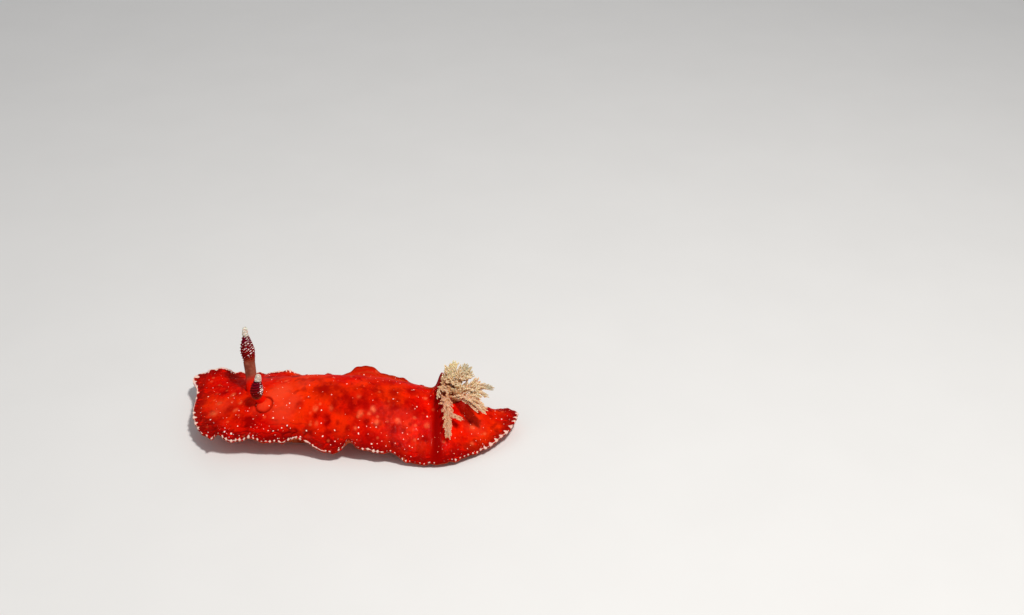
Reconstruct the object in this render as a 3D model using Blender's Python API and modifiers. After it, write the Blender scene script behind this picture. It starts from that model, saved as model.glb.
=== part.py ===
"""A crawling dorid sea slug at life size, resting on its foot.

Metres, +Z up. The head points to -X, the animal's left side faces -Y, and the origin is on the
sole. A place on the mantle is given by two numbers from -1 to 1: along, from the head's edge to
the tail's, and across, from the left margin to the right one.
"""

import math

import bmesh
import bpy
from mathutils import Matrix, Vector
from mathutils.geometry import interpolate_bezier

# Driving sizes of the body
BODY_LENGTH = 0.060
HALF_WIDTH = 0.012
CUT_GAP = 0.0003

# The mantle's outline and height, as (station, size) from the head's edge at -1 to the tail's at 1
RIDGE_HEIGHT = (
    (-1.0, 0.0038), (-0.75, 0.0059), (-0.5, 0.0079), (-0.2, 0.0094), (0.1, 0.0092),
    (0.3, 0.0080), (0.45, 0.0069), (0.6, 0.0062), (0.8, 0.0044), (1.0, 0.0032),
)
LEFT_WIDTH = (
    (-1.0, 0.0114), (-0.6, 0.0108), (-0.3, 0.0106), (0.0, 0.0110), (0.2, 0.0115),
    (0.4, 0.0131), (0.6, 0.0137), (0.8, 0.0114), (1.0, 0.0105),
)
RIGHT_WIDTH = (
    (-1.0, 0.0116), (-0.6, 0.0118), (-0.2, 0.0118), (0.2, 0.0118), (0.5, 0.0101),
    (0.8, 0.0049), (1.0, 0.0043),
)
LEFT_EDGE_HEIGHT = (
    (-1.0, 0.0037), (-0.6, 0.0038), (-0.3, 0.0033), (0.0, 0.0029), (0.2, 0.0031),
    (0.36, 0.0013), (0.6, 0.0013), (0.8, 0.0016), (1.0, 0.0027),
)
RIGHT_EDGE_HEIGHT = (
    (-1.0, 0.0039), (-0.6, 0.0037), (-0.3, 0.0031), (0.0, 0.0017), (0.5, 0.0013),
    (0.8, 0.0012), (1.0, 0.0027),
)
MIDLINE_SHIFT = ((-1.0, 0.0006), (-0.6, 0.0004), (0.0, 0.0), (1.0, 0.0))
HEAD_SLEW = ((-1.0, 0.27), (-0.5, 0.27), (0.0, 0.05), (0.3, 0.0), (1.0, 0.0))
HEAD_ROUNDING = 0.37
TAIL_ROUNDING = 0.70
# How far the head's front edge is drawn in, as (across, distance)
HEAD_EDGE = (
    (-1.0, 0.0), (-0.75, -0.0006), (-0.45, -0.0004), (-0.1, 0.0002), (0.2, 0.0008),
    (0.5, 0.0007), (0.8, -0.0009), (1.0, -0.0007),
)
DOME_POWER = 1.15
DOME_FULLNESS = 1.5
MANTLE_THICKNESS = 0.0017
MARGIN_THICKNESS = 0.0006
LOWEST_MARGIN = 0.0009
SEGMENTS_ALONG = 58
SEGMENTS_ACROSS = 24

# Ruffles of the margin: side, place along the body, rise, push outwards, half-width
LEFT, RIGHT = -1, 1
RUFFLES = (
    (LEFT, -0.0233, 0.0015, 0.0, 0.0010),
    (LEFT, -0.0177, 0.0010, 0.0, 0.0009),
    (LEFT, -0.0091, 0.0014, 0.0, 0.0018),
    (LEFT, -0.0038, -0.0007, 0.0006, 0.0022),
    (LEFT, 0.0002, 0.0024, 0.0, 0.0010),
    (LEFT, 0.0054, -0.0005, 0.0004, 0.0013),
    (LEFT, 0.0076, 0.0005, 0.0, 0.0012),
    (RIGHT, -0.0265, 0.0013, 0.0, 0.0024),
    (RIGHT, -0.0140, 0.0009, 0.0, 0.0022),
    (RIGHT, -0.0058, 0.0010, 0.0, 0.0011),
    (RIGHT, 0.0011, 0.0036, 0.0, 0.0040),
    (RIGHT, 0.0074, 0.0012, 0.0, 0.0022),
    (RIGHT, 0.0170, 0.0008, 0.0, 0.0012),
)
WAVE_HEIGHT = 0.00014
WAVE_LENGTH = 0.0031

# The fold across the back in front of the gill, and the raised lip of the gill pocket
FOLD_START = 0.0147
FOLD_CREST = 0.0162
FOLD_END = 0.0225
FOLD_RISE = 0.0013
LIP_PLACE = (0.0161, 0.0038)
LIP_SPREAD = (0.00115, 0.0024)
LIP_RISE = 0.0031

# Where the mantle is parted
NECK_CUT = -0.0110
GILL_CUT = 0.0120

# Rhinophores: the place of the root, the lean to the right and the lean towards the tail
RHINOPHORE_ROOTS = {
    "left": ((-0.0159, -0.0034), math.radians(5), -math.radians(6)),
    "right": ((-0.0188, 0.0022), math.radians(24.5), -math.radians(5.5)),
}
# Where each club starts and ends and where the knob ends, up from the root. The left one is
# drawn in.
CLUB_SPANS = {"left": (0.0018, 0.0056, 0.0067), "right": (0.0053, 0.0101, 0.0116)}
CLUB_RADII = {"left": 0.00108, "right": 0.00132}
KNOB_RADII = {"left": 0.00048, "right": 0.00055}
STALK_RADIUS = 0.00095
STALK_ROOT = -0.0003
LAMELLAE = 8
LAMELLA_DEPTH = 0.00022
LAMELLA_SLANT = 0.30
TURNED_STEPS = 16
SHEATH_RADIUS = 0.0021
SHEATH_HOLE_RADIUS = 0.0015
SHEATH_RISE = 0.0004
SHEATH_POCKET = 0.0010
SHEATH_ROOT = 0.0010

# The gill's pocket, the papilla in its middle, and its plumes: each one's root bearing, its tip,
# and the place along it and tip of each branch
GILL_CENTRE = (0.0173, -0.0006)
POCKET_RADIUS = 0.0025
POCKET_DEPTH = 0.0009
POCKET_WALL = 0.0009
POCKET_RIM = 0.0004
POCKET_STEPS = 24
ROOT_RING = 0.0016
PLUMES = (
    (-106, (0.0176, -0.0097, 0.0044), ((0.55, (0.0203, -0.0073, 0.0062)),)),
    (-50, (0.0246, -0.0058, 0.0067), ()),
    (2, (0.0257, -0.0011, 0.0087), ((0.55, (0.0248, -0.0036, 0.0084)),)),
    (56, (0.0214, 0.0033, 0.0107), ()),
    (115, (0.0188, 0.0034, 0.0112), ()),
    (178, (0.0157, -0.0034, 0.0087), ()),
)
PLUME_RISE = 0.0043
PLUME_ARCH = 0.0018
PLUME_CLEARANCE = 0.0010
PLUME_POINTS = 10
RACHIS_RADIUS = 0.00052
RACHIS_TIP_RADIUS = 0.00027
BRANCH_RADIUS = 0.00034
BRANCH_POINTS = 5
BRANCH_PINNA_START = 0.35
PINNA_LENGTH = 0.0020
PINNA_RADIUS = 0.00027
PINNA_TIP_RADIUS = 0.00016
PINNA_SPACING = 0.00082
PINNA_START = 0.26
PINNA_SWEEP = math.radians(32)
PINNA_LIFT = 0.35
PAPILLA_RADIUS = 0.00050
PAPILLA_HEIGHT = 0.0018

# The foot, flanks and head, as rings up from the sole: height, and the shares of the sole's
# length, of its width, and of that width that is left at the front end
SOLE_FRONT = -0.0232
SOLE_BACK = 0.0245
SOLE_HALF_WIDTH = 0.0060
FOOT_TOP = 0.0016
FLANK_TOP = 0.013
FLANK_RINGS = (
    (0.0, 0.985, 0.93, 1.0),
    (0.0004, 1.0, 1.0, 1.0),
    (0.0009, 0.972, 0.97, 1.0),
    (FOOT_TOP, 1.0, 0.92, 1.0),
    (0.0021, 0.945, 0.84, 0.80),
    (0.0032, 0.960, 0.89, 0.78),
    (0.0050, 0.945, 1.0, 0.76),
    (FLANK_TOP, 0.95, 1.1, 0.80),
)
FLANK_SEGMENTS = 44
TAIL_TAPER = 0.60
FRONT_NOTCH = 0.0008
HEAD_CUT = -0.0182
MOUTH_HEIGHT = 0.0029
MOUTH_SIZE = (0.0008, 0.0011, 0.00045)
TENTACLE_LENGTH = 0.0026
TENTACLE_RADIUS = 0.00055
TENTACLE_SPREAD = 0.0023
TENTACLE_GAP = 0.00038

FAR = 0.05

SHADES = {
    "mantle": ((0.72, 0.020, 0.006), 0.35),
    "flank": ((0.78, 0.10, 0.03), 0.40),
    "foot": ((0.80, 0.17, 0.06), 0.40),
    "rhinophore": ((0.22, 0.020, 0.012), 0.30),
    "gill": ((0.72, 0.50, 0.34), 0.35),
}


def clear_scene():
    for obj in list(bpy.data.objects):
        bpy.data.objects.remove(obj)


def new_collection(name):
    made = bpy.data.collections.new(name)
    bpy.context.scene.collection.children.link(made)
    return made


def new_shade(name):
    colour, roughness = SHADES[name]
    made = bpy.data.materials.new(name)
    made.use_nodes = True
    shader = made.node_tree.nodes["Principled BSDF"]
    shader.inputs["Base Color"].default_value = (*colour, 1.0)
    shader.inputs["Roughness"].default_value = roughness
    shader.inputs["Metallic"].default_value = 0.0
    return made


# Profiles and the mantle's surface

def profile(stops, at):
    """The value at a station of a smooth curve through (station, value) stops."""
    if at <= stops[0][0]:
        return stops[0][1]
    if at >= stops[-1][0]:
        return stops[-1][1]
    last = len(stops) - 1
    i = next(k for k in range(last) if at <= stops[k + 1][0])

    def slope(k):
        before, after = stops[max(k - 1, 0)], stops[min(k + 1, last)]
        return (after[1] - before[1]) / (after[0] - before[0])

    (start, low), (end, high) = stops[i], stops[i + 1]
    span = end - start
    t = (at - start) / span
    return (
        (2 * t**3 - 3 * t**2 + 1) * low
        + (t**3 - 2 * t**2 + t) * span * slope(i)
        + (3 * t**2 - 2 * t**3) * high
        + (t**3 - t**2) * span * slope(i + 1)
    )


def smooth_step(low, high, at):
    t = min(max((at - low) / (high - low), 0.0), 1.0)
    return t * t * (3 - 2 * t)


def edge_closeness(along, across):
    """0 in the middle of the back and 1 all along the margin."""
    return 1 - (1 - along**2) * (1 - across**2)


def mantle_plan(along, across):
    """The station and the place on the ground of a point of the mantle."""
    rounding = HEAD_ROUNDING + (TAIL_ROUNDING - HEAD_ROUNDING) * (along + 1) / 2
    station = along * math.sqrt(1 - rounding * across**2 / 2)
    share = across * math.sqrt(1 - rounding * along**2 / 2)
    reach = share * profile(LEFT_WIDTH if share < 0 else RIGHT_WIDTH, station)
    x = station * BODY_LENGTH / 2 - profile(HEAD_SLEW, station) * reach
    x += profile(HEAD_EDGE, across) * max(-along, 0.0) ** 6
    return station, x, profile(MIDLINE_SHIFT, station) + reach


def ruffle_moves(along, across, x):
    """How far the ruffles and small waves lift the margin, and how far they move it sideways."""
    closeness = edge_closeness(along, across)
    lift, sideways = 0.0, 0.0
    for side, place, rise, push, spread in RUFFLES:
        share = smooth_step(0.3, 0.9, side * across) * math.exp(-(((x - place) / spread) ** 2))
        lift += rise * share
        sideways += side * push * share
    turn = 2 * math.pi / WAVE_LENGTH
    wave = math.sin(x * turn + 3.0 * across) + 0.6 * math.sin(1.7 * x * turn - 2.0 * across)
    return closeness**4 * lift + closeness**8 * WAVE_HEIGHT * wave, closeness**4 * sideways


def dome_share(along, across):
    """1 at the top of the back, falling to 0 at the margin."""
    dome = math.cos(math.pi / 2 * abs(across) ** DOME_POWER) ** DOME_FULLNESS
    return dome * (1 - abs(along) ** 5)


def crest_height(along, across):
    """How far the fold and the gill pocket's lip stand up from the back."""
    _, x, y = mantle_plan(along, across)
    fold = smooth_step(FOLD_START, FOLD_CREST, x) - smooth_step(FOLD_CREST, FOLD_END, x)
    lip_x = (x - LIP_PLACE[0]) / LIP_SPREAD[0]
    lip_y = (y - LIP_PLACE[1]) / LIP_SPREAD[1]
    lip = LIP_RISE * math.exp(-(lip_x**2) - lip_y**2)
    return fold * FOLD_RISE * (0.25 + 0.75 * dome_share(along, across)) + lip


def mantle_point(along, across):
    """A point of the mantle's upper surface."""
    station, x, y = mantle_plan(along, across)
    right_share = (across + 1) / 2
    edge = profile(LEFT_EDGE_HEIGHT, station) * (1 - right_share)
    edge += profile(RIGHT_EDGE_HEIGHT, station) * right_share
    z = edge + (profile(RIDGE_HEIGHT, station) - edge) * dome_share(along, across)
    lift, sideways = ruffle_moves(along, across, x)
    z = max(z + lift, LOWEST_MARGIN)
    return Vector((x, y + sideways, z + crest_height(along, across)))


def mantle_thickness(along, across):
    """The mantle's thickness, solid under the fold and the lip and thin at the margin."""
    share = edge_closeness(along, across) ** 2
    plain = MANTLE_THICKNESS + (MARGIN_THICKNESS - MANTLE_THICKNESS) * share
    return plain + 0.85 * crest_height(along, across)


def back_height(x, y):
    """The height of the back over a place on the ground, found in small steps."""
    along, across = 2 * x / BODY_LENGTH, y / HALF_WIDTH
    step_share, steps = 0.7, 30
    for _ in range(steps):
        here = mantle_point(along, across)
        along = min(max(along + step_share * (x - here.x) / (BODY_LENGTH / 2), -1), 1)
        across = min(max(across + step_share * (y - here.y) / HALF_WIDTH, -1), 1)
    return mantle_point(along, across).z


def back_normal(x, y):
    step = 0.0006
    slope_x = (back_height(x + step, y) - back_height(x - step, y)) / (2 * step)
    slope_y = (back_height(x, y + step) - back_height(x, y - step)) / (2 * step)
    return Vector((-slope_x, -slope_y, 1)).normalized()


# Making and joining meshes

def object_of(bm, name, home):
    mesh = bpy.data.meshes.new(name)
    bm.to_mesh(mesh)
    bm.free()
    obj = bpy.data.objects.new(name, mesh)
    home.objects.link(obj)
    return obj


def apply_modifiers(obj):
    """Puts the evaluated mesh in place of the object's own."""
    bpy.context.view_layer.update()
    graph = bpy.context.evaluated_depsgraph_get()
    mesh = bpy.data.meshes.new_from_object(obj.evaluated_get(graph))
    obj.modifiers.clear()
    obj.data = mesh
    return obj


def shell_between(name, raised, sunk, home):
    """A solid that follows the mantle, from raised(place) above its back to sunk(place) below."""
    bm = bmesh.new()
    bmesh.ops.create_grid(bm, x_segments=SEGMENTS_ALONG, y_segments=SEGMENTS_ACROSS, size=1)
    bmesh.ops.triangulate(bm, faces=bm.faces)
    margin_crowding = 0.4 * math.pi
    places = []
    for vert in bm.verts:
        across = math.sin(margin_crowding * vert.co.y) / math.sin(margin_crowding)
        places.append((vert.co.x, across))
    upper = list(bm.verts)
    copied = bmesh.ops.duplicate(bm, geom=list(bm.faces))
    lower = [copied["vert_map"][vert] for vert in upper]
    under_faces = [item for item in copied["geom"] if isinstance(item, bmesh.types.BMFace)]
    bmesh.ops.reverse_faces(bm, faces=under_faces)
    for top, bottom, place in zip(upper, lower, places):
        point = mantle_point(*place)
        top.co = point + Vector((0, 0, raised(*place)))
        bottom.co = point - Vector((0, 0, sunk(*place)))
    rims = [edge for edge in bm.edges if edge.is_boundary]
    bmesh.ops.bridge_loops(bm, edges=rims)
    bmesh.ops.recalc_face_normals(bm, faces=bm.faces)
    return object_of(bm, name, home)


def turned(name, outline, home, steps=TURNED_STEPS):
    """A closed turned solid from (radius, height) points, top to bottom."""
    mesh = bpy.data.meshes.new(name)
    points = [(radius, 0.0, height) for radius, height in outline]
    mesh.from_pydata(points, [(i, i + 1) for i in range(len(points) - 1)], [])
    obj = bpy.data.objects.new(name, mesh)
    home.objects.link(obj)
    screw = obj.modifiers.new("Turn", "SCREW")
    screw.steps = steps
    screw.render_steps = steps
    screw.use_merge_vertices = True
    screw.merge_threshold = 0.000001
    return apply_modifiers(obj)


def stand_at(obj, place, axis):
    """Puts a mesh that was made upright at a place, its own Z axis along the given one."""
    turn = axis.to_track_quat("Z", "Y").to_matrix().to_4x4()
    obj.data.transform(Matrix.Translation(place) @ turn)
    return obj


def tube(name, points, radii, home, sides_level=1):
    """A closed tube through points, with a radius at each."""
    curve = bpy.data.curves.new(name, "CURVE")
    curve.dimensions = "3D"
    curve.bevel_depth = 1.0
    curve.bevel_resolution = sides_level
    curve.use_fill_caps = True
    spline = curve.splines.new("POLY")
    spline.points.add(len(points) - 1)
    for knot, point, radius in zip(spline.points, points, radii):
        knot.co = (*point, 1.0)
        knot.radius = radius
    drawn = bpy.data.objects.new(name, curve)
    home.objects.link(drawn)
    bpy.context.view_layer.update()
    graph = bpy.context.evaluated_depsgraph_get()
    mesh = bpy.data.meshes.new_from_object(drawn.evaluated_get(graph))
    bpy.data.objects.remove(drawn)
    bm = bmesh.new()
    bm.from_mesh(mesh)
    bmesh.ops.remove_doubles(bm, verts=bm.verts, dist=0.000001)
    bmesh.ops.recalc_face_normals(bm, faces=bm.faces)
    return object_of(bm, name, home)


def box_between(name, low, high, home):
    """A box cutter."""
    bm = bmesh.new()
    bmesh.ops.create_cube(bm, size=1)
    bmesh.ops.scale(bm, vec=Vector(high) - Vector(low), verts=bm.verts)
    bmesh.ops.translate(bm, vec=(Vector(high) + Vector(low)) / 2, verts=bm.verts)
    return hidden(object_of(bm, name, home))


def hidden(cutter):
    cutter.hide_render = True
    cutter.display_type = "WIRE"
    return cutter


def cut(obj, operation, cutter):
    modifier = obj.modifiers.new("Cut", "BOOLEAN")
    modifier.operation = operation
    modifier.solver = "EXACT"
    modifier.object = cutter
    apply_modifiers(obj)


def keep_largest(obj):
    """Drops every closed surface of a node but the one with the most volume."""
    bm = bmesh.new()
    bm.from_mesh(obj.data)
    waiting, islands = set(bm.faces), []
    while waiting:
        island, border = set(), [waiting.pop()]
        while border:
            face = border.pop()
            island.add(face)
            for neighbour in {other for edge in face.edges for other in edge.link_faces}:
                if neighbour in waiting:
                    waiting.remove(neighbour)
                    border.append(neighbour)
        islands.append(island)

    def volume(faces):
        total = 0.0
        for face in faces:
            corners = [vert.co for vert in face.verts]
            for second, third in zip(corners[1:], corners[2:]):
                total += corners[0].dot(second.cross(third)) / 6
        return total

    largest = max(islands, key=volume)
    spare = [face for island in islands if island is not largest for face in island]
    bmesh.ops.delete(bm, geom=spare, context="FACES")
    bm.to_mesh(obj.data)
    bm.free()


def united(name, pieces):
    """One closed body from overlapping closed pieces."""
    first, rest = pieces[0], pieces[1:]
    joined = bpy.data.collections.new(name + "_pieces")
    for piece in rest:
        joined.objects.link(piece)
    modifier = first.modifiers.new("Join", "BOOLEAN")
    modifier.operation = "UNION"
    modifier.solver = "MANIFOLD"
    modifier.operand_type = "COLLECTION"
    modifier.collection = joined
    apply_modifiers(first)
    for piece in rest:
        bpy.data.objects.remove(piece)
    bpy.data.collections.remove(joined)
    keep_largest(first)
    first.name = name
    return first


def finish(obj, name, shade, sharp_angle=50):
    """Names a node, gives it its shade and smooths its round faces."""
    obj.name = name
    obj.data.name = name
    obj.data.materials.clear()
    obj.data.materials.append(shade)
    obj.data.shade_smooth()
    obj.data.set_sharp_from_angle(angle=math.radians(sharp_angle))
    return obj


# The mantle, its rhinophore sheaths and its gill pocket

def rhinophore_axis(side):
    _, out, back = RHINOPHORE_ROOTS[side]
    return Vector((math.sin(back), math.sin(out), math.cos(out))).normalized()


def rhinophore_root(side):
    (x, y), _, _ = RHINOPHORE_ROOTS[side]
    return Vector((x, y, back_height(x, y)))


def sheath_axis(side):
    return back_normal(*RHINOPHORE_ROOTS[side][0])


def sheath(side, home):
    """The low collar that a rhinophore stands in."""
    skirt = SHEATH_RADIUS + 0.0003
    outline = (
        (0.0, SHEATH_RISE), (SHEATH_RADIUS - 0.0005, SHEATH_RISE),
        (SHEATH_RADIUS - 0.0002, SHEATH_RISE - 0.0002), (SHEATH_RADIUS, SHEATH_RISE - 0.0005),
        (skirt, -0.0002), (skirt, -SHEATH_ROOT), (0.0, -SHEATH_ROOT),
    )
    collar = turned("sheath_" + side, outline, home)
    return stand_at(collar, rhinophore_root(side), sheath_axis(side))


def sheath_hole(side, home):
    """The hole in the sheath, wide enough for a stalk that leans in it."""
    radius = SHEATH_HOLE_RADIUS
    above = 2 * SHEATH_RISE + CUT_GAP
    outline = ((0.0, above), (radius, above), (radius, -SHEATH_POCKET), (0.0, -SHEATH_POCKET))
    hole = hidden(turned("hole_" + side, outline, home))
    hole.data.transform(Matrix.Rotation(math.pi / TURNED_STEPS, 4, "Z"))
    return stand_at(hole, rhinophore_root(side), sheath_axis(side))


def gill_base():
    x, y = GILL_CENTRE
    return Vector((x, y, back_height(x, y)))


def gill_axis():
    return (Vector((0, 0, 1)) + back_normal(*GILL_CENTRE)).normalized()


def gill_rim(home):
    """The wall round the gill pocket."""
    outer = POCKET_RADIUS + POCKET_WALL
    outline = (
        (0.0, POCKET_RIM), (outer - 0.0005, POCKET_RIM), (outer - 0.0001, POCKET_RIM - 0.0003),
        (outer + 0.0002, -0.0011), (0.0, -0.0011),
    )
    rim = turned("gill_rim", outline, home, steps=POCKET_STEPS)
    return stand_at(rim, gill_base(), gill_axis())


def gill_hole(home):
    above = 0.008
    outline = (
        (0.0, above), (POCKET_RADIUS, above), (POCKET_RADIUS, -POCKET_DEPTH), (0.0, -POCKET_DEPTH),
    )
    hole = hidden(turned("gill_hole", outline, home, steps=POCKET_STEPS))
    hole.data.transform(Matrix.Rotation(math.pi / POCKET_STEPS, 4, "Z"))
    return stand_at(hole, gill_base(), gill_axis())


def make_mantle(home, cutters, shade):
    """The whole mantle, then its three lengths with a thin cut between them."""
    sheet = shell_between("sheet", lambda along, across: 0.0, mantle_thickness, home)
    collars = [sheath(side, home) for side in RHINOPHORE_ROOTS]
    whole = united("mantle", [sheet, gill_rim(home), *collars])
    for hole in [gill_hole(cutters), *(sheath_hole(side, cutters) for side in RHINOPHORE_ROOTS)]:
        cut(whole, "DIFFERENCE", hole)
        bpy.data.objects.remove(hole)
    spans = (
        ("mantle_front", -FAR, NECK_CUT - CUT_GAP / 2),
        ("mantle_middle", NECK_CUT + CUT_GAP / 2, GILL_CUT - CUT_GAP / 2),
        ("mantle_rear", GILL_CUT + CUT_GAP / 2, FAR),
    )
    for name, start, end in spans:
        length = bpy.data.objects.new(name, whole.data.copy())
        home.objects.link(length)
        span = box_between(name + "_span", (start, -FAR, -FAR), (end, FAR, FAR), cutters)
        cut(length, "INTERSECT", span)
        bpy.data.objects.remove(span)
        keep_largest(length)
        finish(length, name, shade)
    bpy.data.objects.remove(whole)


# The foot, the flanks and the head

def flank_point(turn, ring):
    """A point of a ring round the body: blunt and notched in front, tapered behind."""
    height, length_share, width_share, head_share = ring
    blunt = 0.6 if math.cos(turn) > 0 else 1.0
    along = -math.copysign(abs(math.cos(turn)) ** blunt, math.cos(turn))
    across = math.copysign(abs(math.sin(turn)) ** 0.8, math.sin(turn))
    taper = 1 - TAIL_TAPER * smooth_step(-0.2, 1.0, along)
    taper *= 1 - (1 - head_share) * smooth_step(0.4, 1.0, -along)
    x = (SOLE_FRONT + SOLE_BACK) / 2 + along * (SOLE_BACK - SOLE_FRONT) / 2 * length_share
    if along < 0 and height <= FOOT_TOP:
        x += FRONT_NOTCH * math.exp(-((across / 0.15) ** 2))
    y = across * SOLE_HALF_WIDTH * width_share * taper
    return Vector((x - profile(HEAD_SLEW, 2 * x / BODY_LENGTH) * y, y, height))


def flank_body(home):
    """Foot, flanks and head in one, from the flat sole up past the mantle."""
    bm = bmesh.new()
    bmesh.ops.create_cone(
        bm, cap_ends=True, segments=FLANK_SEGMENTS, radius1=1, radius2=1, depth=1
    )
    uprights = [edge for edge in bm.edges if abs(edge.verts[0].co.z - edge.verts[1].co.z) > 0.5]
    last = len(FLANK_RINGS) - 1
    bmesh.ops.subdivide_edges(bm, edges=uprights, cuts=last - 1, use_grid_fill=False)
    for vert in bm.verts:
        ring = FLANK_RINGS[round((vert.co.z + 0.5) * last)]
        vert.co = flank_point(math.atan2(vert.co.y, -vert.co.x), ring)
    bmesh.ops.recalc_face_normals(bm, faces=bm.faces)
    return object_of(bm, "flanks", home)


def under_mantle(home):
    """All the space from a thin gap under the mantle upwards."""
    return hidden(shell_between(
        "under_mantle", lambda along, across: FLANK_TOP,
        lambda along, across: mantle_thickness(along, across) + CUT_GAP, home,
    ))


def make_body(home, cutters, shades):
    """The foot, the trunk and the head, parted with thin cuts."""
    whole = flank_body(home)
    roof = under_mantle(cutters)
    cut(whole, "DIFFERENCE", roof)
    bpy.data.objects.remove(roof)
    above_foot = FOOT_TOP + CUT_GAP
    spans = (
        ("foot", "foot", (-FAR, -FAR, -FAR), (FAR, FAR, FOOT_TOP)),
        ("head", "flank", (-FAR, -FAR, above_foot), (HEAD_CUT - CUT_GAP / 2, FAR, FAR)),
        ("trunk", "flank", (HEAD_CUT + CUT_GAP / 2, -FAR, above_foot), (FAR, FAR, FAR)),
    )
    for name, shade, low, high in spans:
        length = bpy.data.objects.new(name, whole.data.copy())
        home.objects.link(length)
        span = box_between(name + "_span", low, high, cutters)
        cut(length, "INTERSECT", span)
        bpy.data.objects.remove(span)
        if name == "head":
            cut_mouth(length, cutters)
        keep_largest(length)
        finish(length, name, shades[shade])
    bpy.data.objects.remove(whole)


def head_front(y):
    """Where the head's front face is at the mouth's height, that far off the midline."""
    ring = next(ring for ring in FLANK_RINGS if ring[0] >= MOUTH_HEIGHT)
    steps = 180
    front = [flank_point(math.pi * (step / steps - 0.5), ring) for step in range(steps + 1)]
    near, far = next(pair for pair in zip(front, front[1:]) if pair[1].y > y)
    return near.x + (far.x - near.x) * (y - near.y) / (far.y - near.y)


def cut_mouth(head, cutters):
    bm = bmesh.new()
    bmesh.ops.create_uvsphere(bm, u_segments=16, v_segments=8, radius=1)
    bmesh.ops.scale(bm, vec=MOUTH_SIZE, verts=bm.verts)
    bmesh.ops.translate(bm, vec=(head_front(0.0), 0.0, MOUTH_HEIGHT), verts=bm.verts)
    mouth = hidden(object_of(bm, "mouth", cutters))
    cut(head, "DIFFERENCE", mouth)
    bpy.data.objects.remove(mouth)


def make_tentacle(side, sign, home, shade):
    """A blunt feeler beside the mouth."""
    radius, length = TENTACLE_RADIUS, TENTACLE_LENGTH
    outline = (
        (0.0, length), (0.35 * radius, length - 0.1 * radius), (0.6 * radius, length - 0.4 * radius),
        (0.75 * radius, 0.5 * length), (radius, 0.1 * length), (radius, 0.0), (0.0, 0.0),
    )
    feeler = turned("feeler", outline, home, steps=12)
    y = sign * TENTACLE_SPREAD
    slope = (head_front(y + radius) - head_front(y - radius)) / (2 * radius)
    axis = Vector((-1.0, slope, 0.0)).normalized()
    root = Vector((head_front(y), y, MOUTH_HEIGHT)) + axis * TENTACLE_GAP
    stand_at(feeler, root, axis)
    finish(feeler, "oral_tentacle_" + side, shade)


# Rhinophores

def club_outline(side):
    """The club's (radius, height) points, from its top down, one ridge for each lamella."""
    start, end, _ = CLUB_SPANS[side]
    points = []
    for i in range(LAMELLAE):
        for part, depth in ((0.0, LAMELLA_DEPTH), (0.5, 0.0)):
            share = (i + part) / LAMELLAE
            swell = math.sin(math.pi * (0.16 + 0.74 * share)) ** 0.8
            points.append((CLUB_RADII[side] * swell - depth, end + (start - end) * share))
    return points


def make_rhinophore(side, home, shade):
    """A stalk, a leafy club and a blunt knob at the tip."""
    start, end, top = CLUB_SPANS[side]
    tip = KNOB_RADII[side]
    knob = [(0.0, top), (0.6 * tip, top - 0.0001), (tip, top - 0.0004), (tip, end + 0.0002)]
    stalk = [(0.85 * STALK_RADIUS, start - 0.0001), (0.9 * STALK_RADIUS, 0.6 * start),
             (STALK_RADIUS, 0.0006), (STALK_RADIUS, STALK_ROOT), (0.0, STALK_ROOT)]
    rhinophore = turned("rhinophore", knob + club_outline(side) + stalk, home)
    middle, half = (start + end) / 2, (end - start) / 2
    for vert in rhinophore.data.vertices:
        in_club = max(1 - abs((vert.co.z - middle) / half) ** 4, 0.0)
        vert.co.z += LAMELLA_SLANT * in_club * vert.co.x
    stand_at(rhinophore, rhinophore_root(side), rhinophore_axis(side))
    finish(rhinophore, "rhinophore_" + side, shade, sharp_angle=80)


# The gill

def pocket_floor(bearing, radius):
    """A place a thin gap above the pocket's floor, and the way out from its middle."""
    axis = gill_axis()
    turn = math.radians(bearing)
    out = Vector((math.cos(turn), math.sin(turn), 0))
    out = (out - axis * out.dot(axis)).normalized()
    return gill_base() - axis * (POCKET_DEPTH - CUT_GAP) + out * radius, out


def ground_height(place):
    """The height of what lies under a plume: the back, or the pocket's rim where it is higher."""
    back = back_height(place.x, place.y)
    off = Vector((place.x - GILL_CENTRE[0], place.y - GILL_CENTRE[1], 0))
    if off.length > POCKET_RADIUS + POCKET_WALL + CUT_GAP:
        return back
    axis = gill_axis()
    return max(back, gill_base().z + POCKET_RIM / axis.z - off.dot(axis) / axis.z)


def plume_path(bearing, tip):
    """A plume's midline, up from the pocket's floor, over its rim and out to the tip."""
    root, out = pocket_floor(bearing, ROOT_RING)
    tip = Vector(tip)
    first = root + gill_axis() * PLUME_RISE
    second = tip + (root - tip) * 0.35 + Vector((0, 0, PLUME_ARCH))
    path = interpolate_bezier(root, first, second, tip, PLUME_POINTS)
    for point in path:
        if (point - root).dot(out) > POCKET_RADIUS - ROOT_RING:
            point.z = max(point.z, ground_height(point) + PLUME_CLEARANCE)
    return path


def along_path(path, spacing):
    """Each place a spacing apart along a path, with the way on and the share of its length."""
    total = sum((b - a).length for a, b in zip(path, path[1:]))
    passed, wanted = 0.0, spacing
    for start, end in zip(path, path[1:]):
        step = (end - start).length
        while wanted <= passed + step:
            yield start.lerp(end, (wanted - passed) / step), (end - start) / step, wanted / total
            wanted += spacing
        passed += step


def pinna_points(place, onward, out, length):
    """A side filament's midline, rooted in its plume's and bent towards the plume's tip."""
    points = []
    for share, sweep in ((0.0, PINNA_SWEEP), (0.55, PINNA_SWEEP), (1.0, 1.5 * PINNA_SWEEP)):
        way = out * math.cos(sweep) + onward * math.sin(sweep)
        points.append(place + way * length * share)
    return points


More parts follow.
